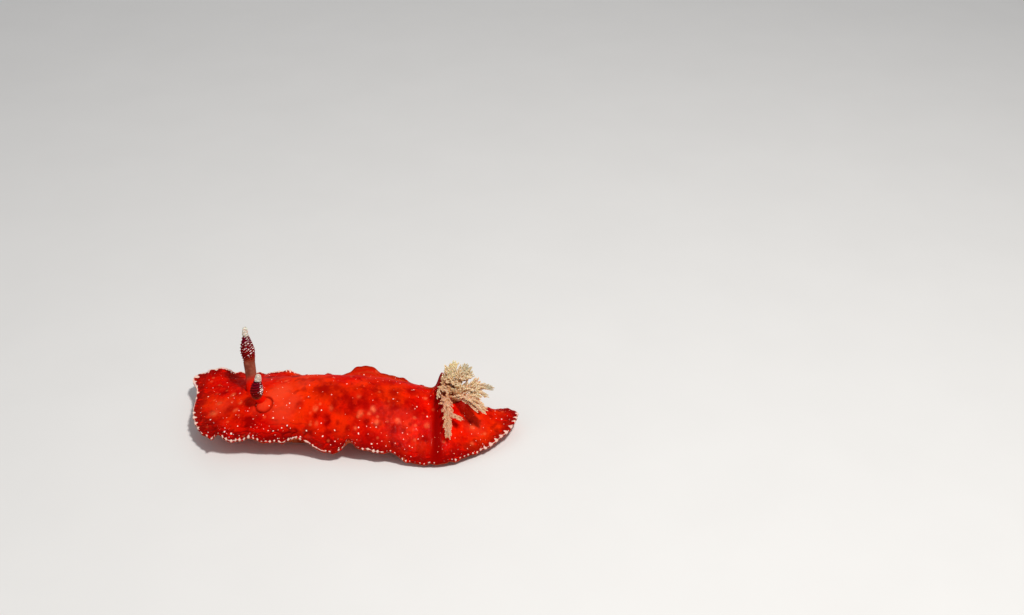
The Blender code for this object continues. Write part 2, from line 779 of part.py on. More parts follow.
def add_pinna(pieces, place, onward, out, length, home):
    """Makes a side filament, shortened until it clears what lies under it."""
    lowest = PINNA_RADIUS + CUT_GAP
    while length > 2 * PINNA_RADIUS:
        points = pinna_points(place, onward, out, length)
        if all(point.z > ground_height(point) + lowest for point in points[1:]):
            radii = [PINNA_RADIUS, PINNA_RADIUS, PINNA_TIP_RADIUS]
            pieces.append(tube("pinna", points, radii, home, sides_level=0))
            return
        length *= 0.8


def frond(path, start_radius, first_pinna, others, home):
    """A tapered midline and its two rows of side filaments, kept clear of the other plumes."""
    last = len(path) - 1
    radii = [start_radius + (RACHIS_TIP_RADIUS - start_radius) * i / last for i in range(last + 1)]
    pieces = [tube("rachis", path, radii, home)]
    side = (path[-1] - path[0]).cross(gill_axis()).normalized()
    for place, onward, share in along_path(path, PINNA_SPACING):
        nearest = min((place - point).length for point in others)
        length = min(PINNA_LENGTH * (1 - 0.5 * share**2), nearest / 2 - PINNA_RADIUS)
        lift = side.cross(onward) * PINNA_LIFT
        if share > first_pinna:
            for sign in (-1, 1):
                out = (side * sign + lift).normalized()
                add_pinna(pieces, place, onward, out, length, home)
    return pieces


def branch_path(path, share, tip):
    """A branch's midline, from a place along its plume to its own tip."""
    start = path[round(share * (len(path) - 1))]
    onward = (path[-1] - start) * 0.3
    return interpolate_bezier(start, start + onward, start.lerp(tip, 0.7), tip, BRANCH_POINTS)


def make_gill(home, shade):
    paths = [plume_path(bearing, tip) for bearing, tip, _ in PLUMES]
    for number, (path, (_, _, branches)) in enumerate(zip(paths, PLUMES), start=1):
        others = [point for other in paths if other is not path for point in other]
        pieces = frond(path, RACHIS_RADIUS, PINNA_START, others, home)
        for share, tip in branches:
            branch = branch_path(path, share, Vector(tip))
            pieces += frond(branch, BRANCH_RADIUS, BRANCH_PINNA_START, others, home)
        finish(united("plume", pieces), "gill_plume_" + str(number), shade)


def make_papilla(home, shade):
    outline = (
        (0.0, PAPILLA_HEIGHT), (0.6 * PAPILLA_RADIUS, PAPILLA_HEIGHT - 0.0001),
        (0.8 * PAPILLA_RADIUS, PAPILLA_HEIGHT - 0.0004), (PAPILLA_RADIUS, 0.0), (0.0, 0.0),
    )
    papilla = turned("papilla", outline, home, steps=12)
    base, _ = pocket_floor(0.0, 0.0)
    stand_at(papilla, base, gill_axis())
    finish(papilla, "anal_papilla", shade)


def main():
    clear_scene()
    slug = new_collection("dorid")
    cutters = new_collection("cutters")
    shades = {name: new_shade(name) for name in SHADES}
    make_mantle(slug, cutters, shades["mantle"])
    make_body(slug, cutters, shades)
    for side, sign in (("left", -1), ("right", 1)):
        make_tentacle(side, sign, slug, shades["flank"])
        make_rhinophore(side, slug, shades["rhinophore"])
    make_gill(slug, shades["gill"])
    make_papilla(slug, shades["gill"])


main()
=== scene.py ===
"""The looks of a crawling dorid sea slug, made round its solids.

Metres, +Z up. The head points to -X, and the animal's left side faces -Y, where the camera is.
A place on the mantle is given by two numbers from -1 to 1: along, from the head's edge to the
tail's, and across, from the left margin to the right one.
"""

import functools
import math
import random

import bmesh
import bpy
import numpy as np
from mathutils import Matrix, Vector, noise
from mathutils.geometry import interpolate_bezier
from mathutils.kdtree import KDTree


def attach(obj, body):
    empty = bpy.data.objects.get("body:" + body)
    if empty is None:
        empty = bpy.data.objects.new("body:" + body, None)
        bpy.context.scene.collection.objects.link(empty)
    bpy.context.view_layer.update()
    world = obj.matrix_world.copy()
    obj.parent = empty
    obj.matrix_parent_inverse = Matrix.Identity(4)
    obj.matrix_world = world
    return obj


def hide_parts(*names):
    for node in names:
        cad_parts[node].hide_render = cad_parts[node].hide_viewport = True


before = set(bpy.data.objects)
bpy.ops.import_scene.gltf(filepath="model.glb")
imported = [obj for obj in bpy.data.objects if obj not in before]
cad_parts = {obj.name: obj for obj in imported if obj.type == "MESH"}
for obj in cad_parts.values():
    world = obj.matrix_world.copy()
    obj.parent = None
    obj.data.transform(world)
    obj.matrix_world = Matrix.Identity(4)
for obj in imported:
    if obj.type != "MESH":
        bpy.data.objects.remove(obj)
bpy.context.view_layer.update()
MM = 0.001

# Driving sizes of the body, the same as the solids'
BODY_LENGTH = 0.060
HALF_WIDTH = 0.012

# The mantle's outline and height, as (station, size) from the head's edge at -1 to the tail's at 1
RIDGE_HEIGHT = (
    (-1.0, 0.0038), (-0.75, 0.0059), (-0.5, 0.0079), (-0.2, 0.0094), (0.1, 0.0092),
    (0.3, 0.0080), (0.45, 0.0069), (0.6, 0.0062), (0.8, 0.0044), (1.0, 0.0032),
)
LEFT_WIDTH = (
    (-1.0, 0.0114), (-0.6, 0.0108), (-0.3, 0.0106), (0.0, 0.0110), (0.2, 0.0115),
    (0.4, 0.0131), (0.6, 0.0137), (0.8, 0.0114), (1.0, 0.0105),
)
RIGHT_WIDTH = (
    (-1.0, 0.0116), (-0.6, 0.0118), (-0.2, 0.0118), (0.2, 0.0118), (0.5, 0.0101),
    (0.8, 0.0049), (1.0, 0.0043),
)
LEFT_EDGE_HEIGHT = (
    (-1.0, 0.0037), (-0.6, 0.0038), (-0.3, 0.0033), (0.0, 0.0029), (0.2, 0.0031),
    (0.36, 0.0013), (0.6, 0.0013), (0.8, 0.0016), (1.0, 0.0027),
)
RIGHT_EDGE_HEIGHT = (
    (-1.0, 0.0039), (-0.6, 0.0037), (-0.3, 0.0031), (0.0, 0.0017), (0.5, 0.0013),
    (0.8, 0.0012), (1.0, 0.0027),
)
MIDLINE_SHIFT = ((-1.0, 0.0006), (-0.6, 0.0004), (0.0, 0.0), (1.0, 0.0))
HEAD_SLEW = ((-1.0, 0.27), (-0.5, 0.27), (0.0, 0.05), (0.3, 0.0), (1.0, 0.0))
HEAD_ROUNDING = 0.37
TAIL_ROUNDING = 0.70
# How far the head's front edge is drawn in, as (across, distance)
HEAD_EDGE = (
    (-1.0, 0.0), (-0.75, -0.0006), (-0.45, -0.0004), (-0.1, 0.0002), (0.2, 0.0008),
    (0.5, 0.0007), (0.8, -0.0009), (1.0, -0.0007),
)
DOME_POWER = 1.15
DOME_FULLNESS = 1.5
MANTLE_THICKNESS = 0.0017
RIM_THICKNESS = 0.00042
LOWEST_MARGIN = 0.0009

# Ruffles of the margin: side, place along the body, rise, push outwards, half-width
LEFT, RIGHT = -1, 1
RUFFLES = (
    (LEFT, -0.0233, 0.0015, 0.0, 0.0010),
    (LEFT, -0.0177, 0.0010, 0.0, 0.0009),
    (LEFT, -0.0091, 0.0014, 0.0, 0.0018),
    (LEFT, -0.0038, -0.0007, 0.0006, 0.0022),
    (LEFT, 0.0002, 0.0024, 0.0, 0.0010),
    (LEFT, 0.0054, -0.0005, 0.0004, 0.0013),
    (LEFT, 0.0076, 0.0005, 0.0, 0.0012),
    (RIGHT, -0.0265, 0.0013, 0.0, 0.0024),
    (RIGHT, -0.0140, 0.0009, 0.0, 0.0022),
    (RIGHT, -0.0058, 0.0010, 0.0, 0.0011),
    (RIGHT, 0.0011, 0.0036, 0.0, 0.0040),
    (RIGHT, 0.0074, 0.0012, 0.0, 0.0022),
    (RIGHT, 0.0170, 0.0008, 0.0, 0.0012),
)
WAVE_HEIGHT = 0.00014
WAVE_LENGTH = 0.0031

# The fold across the back in front of the gill, and the raised lip of the gill pocket
FOLD_START = 0.0147
FOLD_CREST = 0.0162
FOLD_END = 0.0225
FOLD_RISE = 0.0013
LIP_PLACE = (0.0161, 0.0038)
LIP_SPREAD = (0.00115, 0.0024)
LIP_RISE = 0.0031

# Rhinophores: each root's place, and each midline in millimetres, from in the sheath to the tip
RHINOPHORE_ROOTS = {"left": (-0.0159, -0.0030), "right": (-0.0188, 0.0022)}
RHINOPHORE_LINES = {
    "left": (
        (-15.9, -1.70, 5.8), (-16.2, -1.95, 6.9), (-16.8, -2.45, 8.0), (-17.0, -2.72, 9.4),
        (-16.8, -2.76, 10.8), (-16.45, -2.70, 12.3), (-16.3, -2.74, 13.25),
    ),
    "right": (
        (-18.55, 1.45, 5.6), (-18.65, 1.75, 7.2), (-18.75, 2.35, 8.6), (-18.95, 3.20, 10.0),
        (-19.26, 4.31, 11.4), (-19.65, 5.46, 13.6), (-19.87, 6.44, 15.7), (-19.85, 6.95, 17.2),
    ),
}
# How far down from the tip the knob and the club end, in metres
KNOB_LENGTH = {"left": 0.0012, "right": 0.0016}
CLUB_REACH = {"left": 0.0048, "right": 0.0065}
CLUB_RADII = {"left": 0.00130, "right": 0.00146}
KNOB_RADII = {"left": 0.00054, "right": 0.00050}
STALK_RADII = {"left": 0.00080, "right": 0.00102}
# The way round each club that its white specks gather on, from the head's side: its lit side, where
# the crowded specks are painted highlights
LIT_SPECK_SIDES = {"left": 2.9, "right": -2.5}

# The gill: its pocket, and its plumes' root bearing, tip, and branches as (place along, tip)
GILL_CENTRE = (0.0173, -0.0006)
POCKET_RADIUS = 0.0025
POCKET_DEPTH = 0.0009
POCKET_WALL = 0.0009
POCKET_RIM = 0.0004
ROOT_RING = 0.0016
PLUMES = (
    (-106, (0.0176, -0.0097, 0.0044), ((0.55, (0.0203, -0.0073, 0.0062)),)),
    (-50, (0.0246, -0.0058, 0.0067), ()),
    (2, (0.0257, -0.0011, 0.0087), ((0.55, (0.0248, -0.0036, 0.0084)),)),
    (56, (0.0214, 0.0033, 0.0107), ()),
    (115, (0.0188, 0.0034, 0.0112), ()),
    (178, (0.0157, -0.0034, 0.0087), ()),
)
PLUME_RISE = 0.0043
PLUME_ARCH = 0.0018
PLUME_CLEARANCE = 0.0010
PAPILLA_RADIUS = 0.00050
PAPILLA_HEIGHT = 0.0018

# The foot, flanks and head: shares of the sole's length, of its width and of the front's width
SOLE_FRONT = -0.0232
SOLE_BACK = 0.0245
SOLE_HALF_WIDTH = 0.0060
FOOT_TOP = 0.0016
LENGTH_SHARE = (
    (0.0, 0.985), (0.0004, 1.0), (0.0009, 0.972), (FOOT_TOP, 1.0), (0.0021, 0.945),
    (0.0032, 0.960), (0.0050, 0.945), (0.013, 0.95),
)
WIDTH_SHARE = (
    (0.0, 0.93), (0.0004, 1.0), (0.0009, 0.97), (FOOT_TOP, 0.92), (0.0021, 0.84),
    (0.0032, 0.89), (0.0050, 1.0), (0.013, 1.1),
)
HEAD_SHARE = (
    (0.0, 1.0), (FOOT_TOP, 1.0), (0.0021, 0.80), (0.0032, 0.78), (0.0050, 0.76), (0.013, 0.80),
)
TAIL_TAPER = 0.60
FRONT_NOTCH = 0.0008
MOUTH_HEIGHT = 0.0029
HEAD_FRONT_HEIGHT = 0.0032
TENTACLE_LENGTH = 0.0026
TENTACLE_RADIUS = 0.00055
TENTACLE_SPREAD = 0.0023
TENTACLE_GAP = 0.00038
TENTACLE_ROOT = 0.0006
TENTACLE_BEND = 0.00018
TENTACLE_SWELL = ((0, 1.25), (0.12, 1.02), (0.5, 0.80), (0.8, 0.66), (0.93, 0.48), (1, 0.0))

# How finely the skin is divided, and how much closer its rows lie near the margin
SKIN_ALONG = 150
SKIN_ACROSS = 62
CROWDING = 0.40 * math.pi
MARGIN_STEPS = 4000

# The margin's frill and beads, and the creases and pleats beside it
BEAD_SPACING = 0.00085
BEAD_RISE = 0.00026
BEAD_SINK = 0.00008
FRILL_RISE = 0.00014
EDGE_REACH = 0.0007
CREASE_DEPTH = 0.00026
CREASE_PLACE = 0.0018
CREASE_SPREAD = 0.0017
PLEAT_RISE = 0.00007
PLEAT_SPACING = 0.00070
PLEAT_END = 0.0034
PLEAT_START = 0.0020
LUMP_RISE = 0.00008
FINE_LUMP_RISE = 0.00004
TUBERCLE_RISE = 0.55
GROOVE_SPREAD = 0.00021

# A collar's shape, in millimetres: reach on the plain skin, radius, rise, share of the plain height
SHEATH_SHAPES = {
    "left": (
        (0.00, 0.00, 0.38, 1.0), (0.60, 0.60, 0.36, 1.0), (1.10, 1.13, 0.26, 0.9),
        (1.34, 1.38, 0.09, 0.8), (1.50, 1.53, -0.18, 0.6), (1.62, 1.63, -0.32, 0.5),
        (1.74, 1.73, -0.18, 0.6), (1.88, 1.85, 0.05, 0.8), (2.06, 2.03, 0.12, 0.9),
        (2.30, 2.28, 0.09, 1.0), (2.80, 2.80, 0.00, 1.0),
    ),
    "right": (
        (0.00, 0.00, -0.60, 0.0), (0.55, 0.72, -0.60, 0.0), (0.75, 0.94, -0.50, 0.0),
        (0.95, 1.05, -0.15, 0.0), (1.15, 1.14, 0.16, 0.1), (1.35, 1.32, 0.30, 0.3),
        (1.60, 1.58, 0.30, 0.5), (1.90, 1.88, 0.20, 0.8), (2.25, 2.24, 0.08, 0.95),
        (2.60, 2.60, 0.01, 1.0), (3.10, 3.10, 0.00, 1.0),
    ),
}
SHEATH_GROOVES = {"left": 0.00160, "right": 0.00106}
POCKET_SHAPE = (
    (0.00, 0.00, -0.90, 0.0), (1.60, 1.95, -0.90, 0.0), (1.95, 2.38, -0.80, 0.0),
    (2.20, 2.48, -0.40, 0.0), (2.45, 2.54, 0.05, 0.1), (2.70, 2.68, 0.36, 0.3),
    (2.95, 2.95, 0.42, 0.6), (3.25, 3.25, 0.30, 0.9), (3.60, 3.60, 0.08, 1.0),
    (4.10, 4.10, 0.00, 1.0),
)
MOUTH_SHAPE = (
    (0.00, 0.00, -0.70, 0.0), (0.25, 0.22, -0.60, 0.0), (0.45, 0.36, -0.20, 0.2),
    (0.62, 0.52, 0.10, 0.6), (0.85, 0.82, 0.14, 1.0), (1.15, 1.15, 0.02, 1.0),
    (1.40, 1.40, 0.00, 1.0),
)

# Pale spots and dark blotches of the back, in millimetres: x, y, radius, strength
PALE_SPOTS = (
    (-6.3, -4.9, 0.55, 1.0), (-7.2, -5.5, 0.25, 0.7), (-3.5, -5.0, 0.55, 0.35),
    (1.8, -5.8, 0.62, 0.85), (4.1, -5.1, 0.60, 1.0), (3.4, -5.8, 0.40, 0.6),
    (4.8, -7.0, 0.50, 0.8), (8.5, -6.4, 0.55, 0.7), (-6.0, -7.1, 0.50, 0.4),
    (1.4, -3.0, 0.55, 0.3), (1.0, -7.8, 0.35, 0.6), (-25.8, 3.7, 0.35, 0.6),
    (-27.5, 7.6, 0.35, 0.5), (-24.8, 0.3, 0.60, 0.6), (-20.5, -1.1, 0.50, 0.7),
    (-21.2, -2.7, 0.60, 0.6), (-25.4, -2.3, 1.00, 0.5), (-22.4, 1.9, 0.70, 0.6),
    (13.7, -6.6, 0.60, 0.6), (13.2, -1.1, 0.50, 0.5), (21.8, -5.2, 0.60, 0.6),
    (24.0, -5.8, 0.40, 0.6), (21.8, -8.3, 0.45, 0.5), (-12.4, 2.4, 0.55, 0.5),
    (7.5, 4.8, 0.60, 0.6), (-1.5, 5.6, 0.60, 0.6), (13.0, 5.2, 0.55, 0.5),
    (-19.0, 6.8, 0.50, 0.5), (-8.5, 6.9, 0.45, 0.5), (22.5, 0.8, 0.50, 0.5),
    (3.8, 7.2, 0.45, 0.5),
)
PALE_SPOT_SIZE = 0.78
DARK_BLOTCHES = (
    (-2.4, -4.1, 1.5, 0.55), (0.6, -4.3, 1.6, 0.60), (2.4, -4.2, 1.2, 0.45),
    (5.2, -4.2, 1.7, 0.55), (8.0, -4.0, 1.6, 0.50), (10.6, -3.4, 1.5, 0.45),
    (-4.1, -6.7, 0.9, 0.7), (-6.0, -5.9, 0.7, 0.6), (0.7, -6.8, 0.9, 0.55), (3.1, -7.1, 0.8, 0.6),
    (-0.3, -7.9, 0.6, 0.6), (7.4, -7.8, 1.1, 0.7), (-7.3, -7.7, 0.7, 0.7), (-3.2, -9.2, 1.2, 0.8),
    (3.6, -8.9, 0.9, 0.6), (8.2, -9.9, 1.2, 0.8), (-9.3, -4.3, 0.8, 0.45), (-2.8, -1.2, 1.2, 0.4),
    # The patches at (-18.5, -5.7), (-20.4, -4.9) and (-17.4, -4.9) darken the skin below and left of
    # the near rhinophore's sheath
    (-6.0, 0.7, 1.1, 0.4), (6.6, 1.2, 1.3, 0.4), (-18.5, -5.7, 1.3, 0.9),
    (-20.4, -4.9, 1.3, 0.55), (-17.4, -4.9, 0.9, 0.5), (-22.6, -2.3, 1.2, 0.5),
    (-24.6, -4.3, 1.5, 0.6), (-23.6, 4.2, 1.8, 0.5), (20.9, -4.1, 1.2, 0.5),
    (9.8, -7.6, 0.9, 0.5), (13.4, -9.2, 1.1, 0.6), (0.5, 3.2, 1.5, 0.4), (-5.0, -1.4, 2.2, 0.5),
    (-1.4, -3.0, 1.8, 0.5), (1.6, -2.6, 2.0, 0.5), (4.4, -1.4, 2.0, 0.5), (7.6, -1.0, 1.8, 0.45),
    (10.6, 0.2, 1.6, 0.4), (-8.6, 1.6, 1.4, 0.4), (12.0, -5.4, 1.2, 0.4), (-11.0, 4.6, 1.2, 0.5),
    (10.2, 3.4, 1.4, 0.5), (-16.0, 7.2, 1.2, 0.6), (4.5, 8.2, 1.4, 0.5), (-5.0, 8.6, 1.4, 0.5),
    (24.5, 0.5, 1.0, 0.5),
)
# Wide areas where the back is lighter, partly lighter skin and partly a painted pool of light on the
# strongly lit front of the back, in millimetres: x, y, radius, strength
LIT_GLOW_AREAS = (
    (-13.2, -1.0, 2.4, 0.75), (-10.8, -3.4, 1.8, 0.5), (-9.0, 0.6, 1.6, 0.35),
    (-17.0, -3.4, 1.5, 0.3), (-24.0, -1.0, 2.2, 0.25), (22.0, -4.6, 2.0, 0.4),
    (-12.4, -4.4, 2.4, 0.50), (-15.8, -3.2, 1.2, 0.55),
)
# White tipped tubercles, whose white tips are partly white skin and partly painted glints, in
# millimetres: x, y, radius
TUBERCLES = (
    (-21.0, 1.6, 0.16), (-20.9, -0.1, 0.12), (-20.0, 4.7, 0.14), (-24.4, 7.0, 0.13),
    (-23.2, 1.3, 0.13), (-22.3, 1.5, 0.14), (-13.9, -5.7, 0.24), (-20.3, -6.4, 0.17),
    (-22.5, -6.9, 0.13), (-20.9, -7.9, 0.12), (-19.7, -8.6, 0.13), (-14.6, -7.8, 0.17),
    (-17.8, -7.0, 0.13), (-15.5, -7.4, 0.12), (-17.6, -5.4, 0.14), (-11.6, -3.9, 0.13),
    (-13.2, 2.1, 0.12), (-14.6, 1.6, 0.12), (-12.8, 0.3, 0.12), (-24.1, -2.4, 0.11),
    (-26.9, 5.7, 0.14), (13.7, -5.1, 0.22), (11.8, -7.3, 0.13), (13.0, -8.3, 0.13),
    (10.7, -9.9, 0.16), (11.2, -10.1, 0.13), (9.4, -8.1, 0.14), (10.3, -8.2, 0.12),
    (9.6, -9.0, 0.16), (10.3, -1.8, 0.11), (15.1, 0.3, 0.10), (15.3, -2.4, 0.09),
    (21.0, -9.5, 0.14), (28.1, -0.8, 0.14), (23.8, -4.6, 0.11), (25.2, -5.0, 0.10),
    (12.2, -8.8, 0.12), (16.6, -10.6, 0.12), (8.2, -1.2, 0.13), (-2.7, -8.0, 0.17),
    (-4.8, -8.8, 0.19), (1.6, -8.6, 0.16), (3.0, -7.6, 0.14), (4.7, -7.7, 0.13),
    (4.0, -10.2, 0.19), (5.0, -10.2, 0.16), (6.6, -10.6, 0.14), (-0.8, -0.4, 0.13),
    (2.2, -0.7, 0.10), (0.5, 1.5, 0.13), (-3.7, 2.0, 0.13), (4.5, 1.2, 0.14),
)
SCATTERED_TUBERCLES = 260


# Profiles and the mantle's surface, for whole arrays of places

def profile(stops, at):
    """The value at each station of a smooth curve through (station, value) stops."""
    stations, values = np.array(stops, float).T
    slopes = np.gradient(values, stations)
    slopes[1:-1] = (values[2:] - values[:-2]) / (stations[2:] - stations[:-2])
    at = np.clip(at, stations[0], stations[-1])
    i = np.clip(np.searchsorted(stations, at) - 1, 0, len(stations) - 2)
    span = stations[i + 1] - stations[i]
    t = (at - stations[i]) / span
    return (
        (2 * t**3 - 3 * t**2 + 1) * values[i]
        + (t**3 - 2 * t**2 + t) * span * slopes[i]
        + (3 * t**2 - 2 * t**3) * values[i + 1]
        + (t**3 - t**2) * span * slopes[i + 1]
    )


def smooth_step(low, high, at):
    t = np.clip((at - low) / (high - low), 0.0, 1.0)
    return t * t * (3 - 2 * t)


def edge_closeness(along, across):
    """0 in the middle of the back and 1 all along the margin."""
    return 1 - (1 - along**2) * (1 - across**2)


def mantle_plan(along, across):
    """The station and the place on the ground of points of the mantle."""
    rounding = HEAD_ROUNDING + (TAIL_ROUNDING - HEAD_ROUNDING) * (along + 1) / 2
    station = along * np.sqrt(1 - rounding * across**2 / 2)
    share = across * np.sqrt(1 - rounding * along**2 / 2)
    width = np.where(share < 0, profile(LEFT_WIDTH, station), profile(RIGHT_WIDTH, station))
    reach = share * width
    x = station * BODY_LENGTH / 2 - profile(HEAD_SLEW, station) * reach
    x += profile(HEAD_EDGE, across) * np.maximum(-along, 0.0) ** 6
    return station, x, profile(MIDLINE_SHIFT, station) + reach


def ruffle_moves(along, across, x):
    """How far the ruffles and small waves lift the margin, and how far they move it sideways."""
    closeness = edge_closeness(along, across)
    lift, sideways = 0.0, 0.0
    for side, place, rise, push, spread in RUFFLES:
        share = smooth_step(0.3, 0.9, side * across) * np.exp(-(((x - place) / spread) ** 2))
        lift = lift + rise * share
        sideways = sideways + side * push * share
    turn = 2 * math.pi / WAVE_LENGTH
    wave = np.sin(x * turn + 3.0 * across) + 0.6 * np.sin(1.7 * x * turn - 2.0 * across)
    return closeness**4 * lift + closeness**8 * WAVE_HEIGHT * wave, closeness**4 * sideways


def dome_share(along, across):
    """1 at the top of the back, falling to 0 at the margin."""
    dome = np.cos(math.pi / 2 * np.abs(across) ** DOME_POWER) ** DOME_FULLNESS
    return dome * (1 - np.abs(along) ** 5)


def crest_height(along, across):
    """How far the fold and the gill pocket's lip stand up from the back."""
    _, x, y = mantle_plan(along, across)
    fold = smooth_step(FOLD_START, FOLD_CREST, x) - smooth_step(FOLD_CREST, FOLD_END, x)
    lip_x = (x - LIP_PLACE[0]) / LIP_SPREAD[0]
    lip_y = (y - LIP_PLACE[1]) / LIP_SPREAD[1]
    lip = LIP_RISE * np.exp(-(lip_x**2) - lip_y**2)
    return fold * FOLD_RISE * (0.25 + 0.75 * dome_share(along, across)) + lip


def mantle_points(along, across):
    """Points of the mantle's upper surface."""
    station, x, y = mantle_plan(along, across)
    right_share = (across + 1) / 2
    edge = profile(LEFT_EDGE_HEIGHT, station) * (1 - right_share)
    edge = edge + profile(RIGHT_EDGE_HEIGHT, station) * right_share
    z = edge + (profile(RIDGE_HEIGHT, station) - edge) * dome_share(along, across)
    lift, sideways = ruffle_moves(along, across, x)
    z = np.maximum(z + lift, LOWEST_MARGIN)
    return np.stack([x, y + sideways, z + crest_height(along, across)], axis=-1)


def mantle_thickness(along, across):
    """The mantle's thickness, solid under the fold and the lip and thin at the margin."""
    share = edge_closeness(along, across) ** 2
    plain = MANTLE_THICKNESS + (RIM_THICKNESS - MANTLE_THICKNESS) * share
    return plain + 0.85 * crest_height(along, across)


def place_over(x, y):
    """The along and across of the mantle over places on the ground, found in small steps."""
    x, y = np.atleast_1d(x).astype(float), np.atleast_1d(y).astype(float)
    along, across = 2 * x / BODY_LENGTH, y / HALF_WIDTH
    step_share, steps = 0.7, 30
    for _ in range(steps):
        here = mantle_points(along, across)
        along = np.clip(along + step_share * (x - here[:, 0]) / (BODY_LENGTH / 2), -1, 1)
        across = np.clip(across + step_share * (y - here[:, 1]) / HALF_WIDTH, -1, 1)
    return along, across


def back_heights(points):
    return mantle_points(*place_over(points[:, 0], points[:, 1]))[:, 2]


def back_height(x, y):
    return float(back_heights(np.array([[x, y]]))[0])


def back_normal(x, y):
    step = 0.0006
    slope_x = (back_height(x + step, y) - back_height(x - step, y)) / (2 * step)
    slope_y = (back_height(x, y + step) - back_height(x, y - step)) / (2 * step)
    return Vector((-slope_x, -slope_y, 1)).normalized()


# Noise, meshes and attributes

def noise_at(points, size, shift=0.0):
    """Smooth noise between about -1 and 1, with features about a size wide."""
    offset = Vector((shift, 1.7 * shift, 0.3 * shift))
    return np.array([noise.noise(Vector(point) / size + offset) for point in points])


def creases_at(points, size, shift=0.0):
    """1 along the bottom of winding creases, falling to 0 between them."""
    return 1 - np.clip(np.abs(noise_at(points, size, shift)) * 5, 0, 1)


def coordinates(mesh):
    found = np.empty(len(mesh.vertices) * 3)
    mesh.vertices.foreach_get("co", found)
    return found.reshape(-1, 3)


def move_to(mesh, points):
    mesh.vertices.foreach_set("co", np.ascontiguousarray(points, np.float32).ravel())
    mesh.update()


def mark(mesh, name, values):
    """Keeps a number for each point of a mesh, for its material to read."""
    layer = mesh.attributes.new(name, "FLOAT", "POINT")
    layer.data.foreach_set("value", np.asarray(values, np.float32))


def mesh_from(bm, name):
    mesh = bpy.data.meshes.new(name)
    bm.to_mesh(mesh)
    bm.free()
    return mesh


def mesh_of(bm, name):
    """A mesh from a bmesh, with its faces turned outwards."""
    bmesh.ops.recalc_face_normals(bm, faces=bm.faces)
    return mesh_from(bm, name)


def place_piece(mesh, name, material, slot, *nodes):
    """Makes a mesh a piece of the slug, in the place of the solids named."""
    mesh.shade_smooth()
    mesh.materials.clear()
    mesh.materials.append(material)
    piece = bpy.data.objects.new(name, mesh)
    bpy.context.scene.collection.objects.link(piece)
    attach(piece, "root")
    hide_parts(*nodes)


def shape_collar(points, root, axis, shape):
    """Draws the skin round a root into a rim with a pocket in its middle."""
    root, axis = np.array(root), np.array(axis)
    offset = points - root
    height = offset @ axis
    flat = offset - np.outer(height, axis)
    reach = np.maximum(np.linalg.norm(flat, axis=1), 1e-9)
    shape = np.array(shape)
    near = (reach < shape[-1, 0] * MM) & (np.abs(height) < 0.004)
    stops = shape[:, 0] * MM
    radius = profile(np.stack([stops, shape[:, 1] * MM], 1), reach)
    rise = profile(np.stack([stops, shape[:, 2] * MM], 1), reach)
    share = profile(np.stack([stops, shape[:, 3]], 1), reach)
    moved = root + flat * (radius / reach)[:, None] + np.outer(height * share + rise, axis)
    points[near] = moved[near]
    return near


# The mantle's skin

@functools.cache
def sheath_axis(side):
    return back_normal(*RHINOPHORE_ROOTS[side])


@functools.cache
def sheath_place(side):
    x, y = RHINOPHORE_ROOTS[side]
    return Vector((x, y, back_height(x, y)))


@functools.cache
def gill_base():
    x, y = GILL_CENTRE
    return Vector((x, y, back_height(x, y)))


@functools.cache
def gill_axis():
    return (Vector((0, 0, 1)) + back_normal(*GILL_CENTRE)).normalized()


def crowded(places):
    """Draws evenly spaced places from -1 to 1 closer together near both ends."""
    return np.sin(CROWDING * np.clip(places, -1, 1)) / math.sin(CROWDING)


def tubercle_places():
    """The larger tubercles of the photo and a scatter of small ones, as (x, y, radius)."""
    dice = random.Random(11)
    places = [(x * MM, y * MM, 0.9 * radius * MM) for x, y, radius in TUBERCLES]
    while len(places) < len(TUBERCLES) + SCATTERED_TUBERCLES:
        along = dice.uniform(-0.97, 0.97)
        across = dice.uniform(-0.97, 0.97)
        radius = dice.uniform(0.06, 0.11) * MM
        keep = 0.25 + 0.75 * edge_closeness(along, across) ** 2 * (1.0 if across < 0 else 0.55)
        if dice.random() > keep:
            continue
        _, x, y = mantle_plan(np.array([along]), np.array([across]))
        place = (float(x[0]), float(y[0]))
        gap = min(math.dist(place, other[:2]) for other in places)
        if gap > 0.0006:
            places.append((*place, radius))
    return places


def near_any(x, y, places, reaches):
    """Whether each place on the ground lies within reach of any of the places listed."""
    found = np.zeros(len(x), bool)
    for (place_x, place_y), reach in zip(places, reaches):
        found |= (x - place_x) ** 2 + (y - place_y) ** 2 < reach**2
    return found


def refine(bm, places, reaches):
    """Divides the upper faces near the places listed once more."""
    faces = [face for face in bm.faces if max(vert.co.z for vert in face.verts) > -0.01]
    centres = np.array([face.calc_center_median() for face in faces])
    _, x, y = mantle_plan(crowded(centres[:, 0]), crowded(centres[:, 1]))
    chosen = near_any(x, y, places, reaches)
    edges = {edge for face, take in zip(faces, chosen) if take for edge in face.edges}
    bmesh.ops.subdivide_edges(bm, edges=list(edges), cuts=1, use_grid_fill=True)


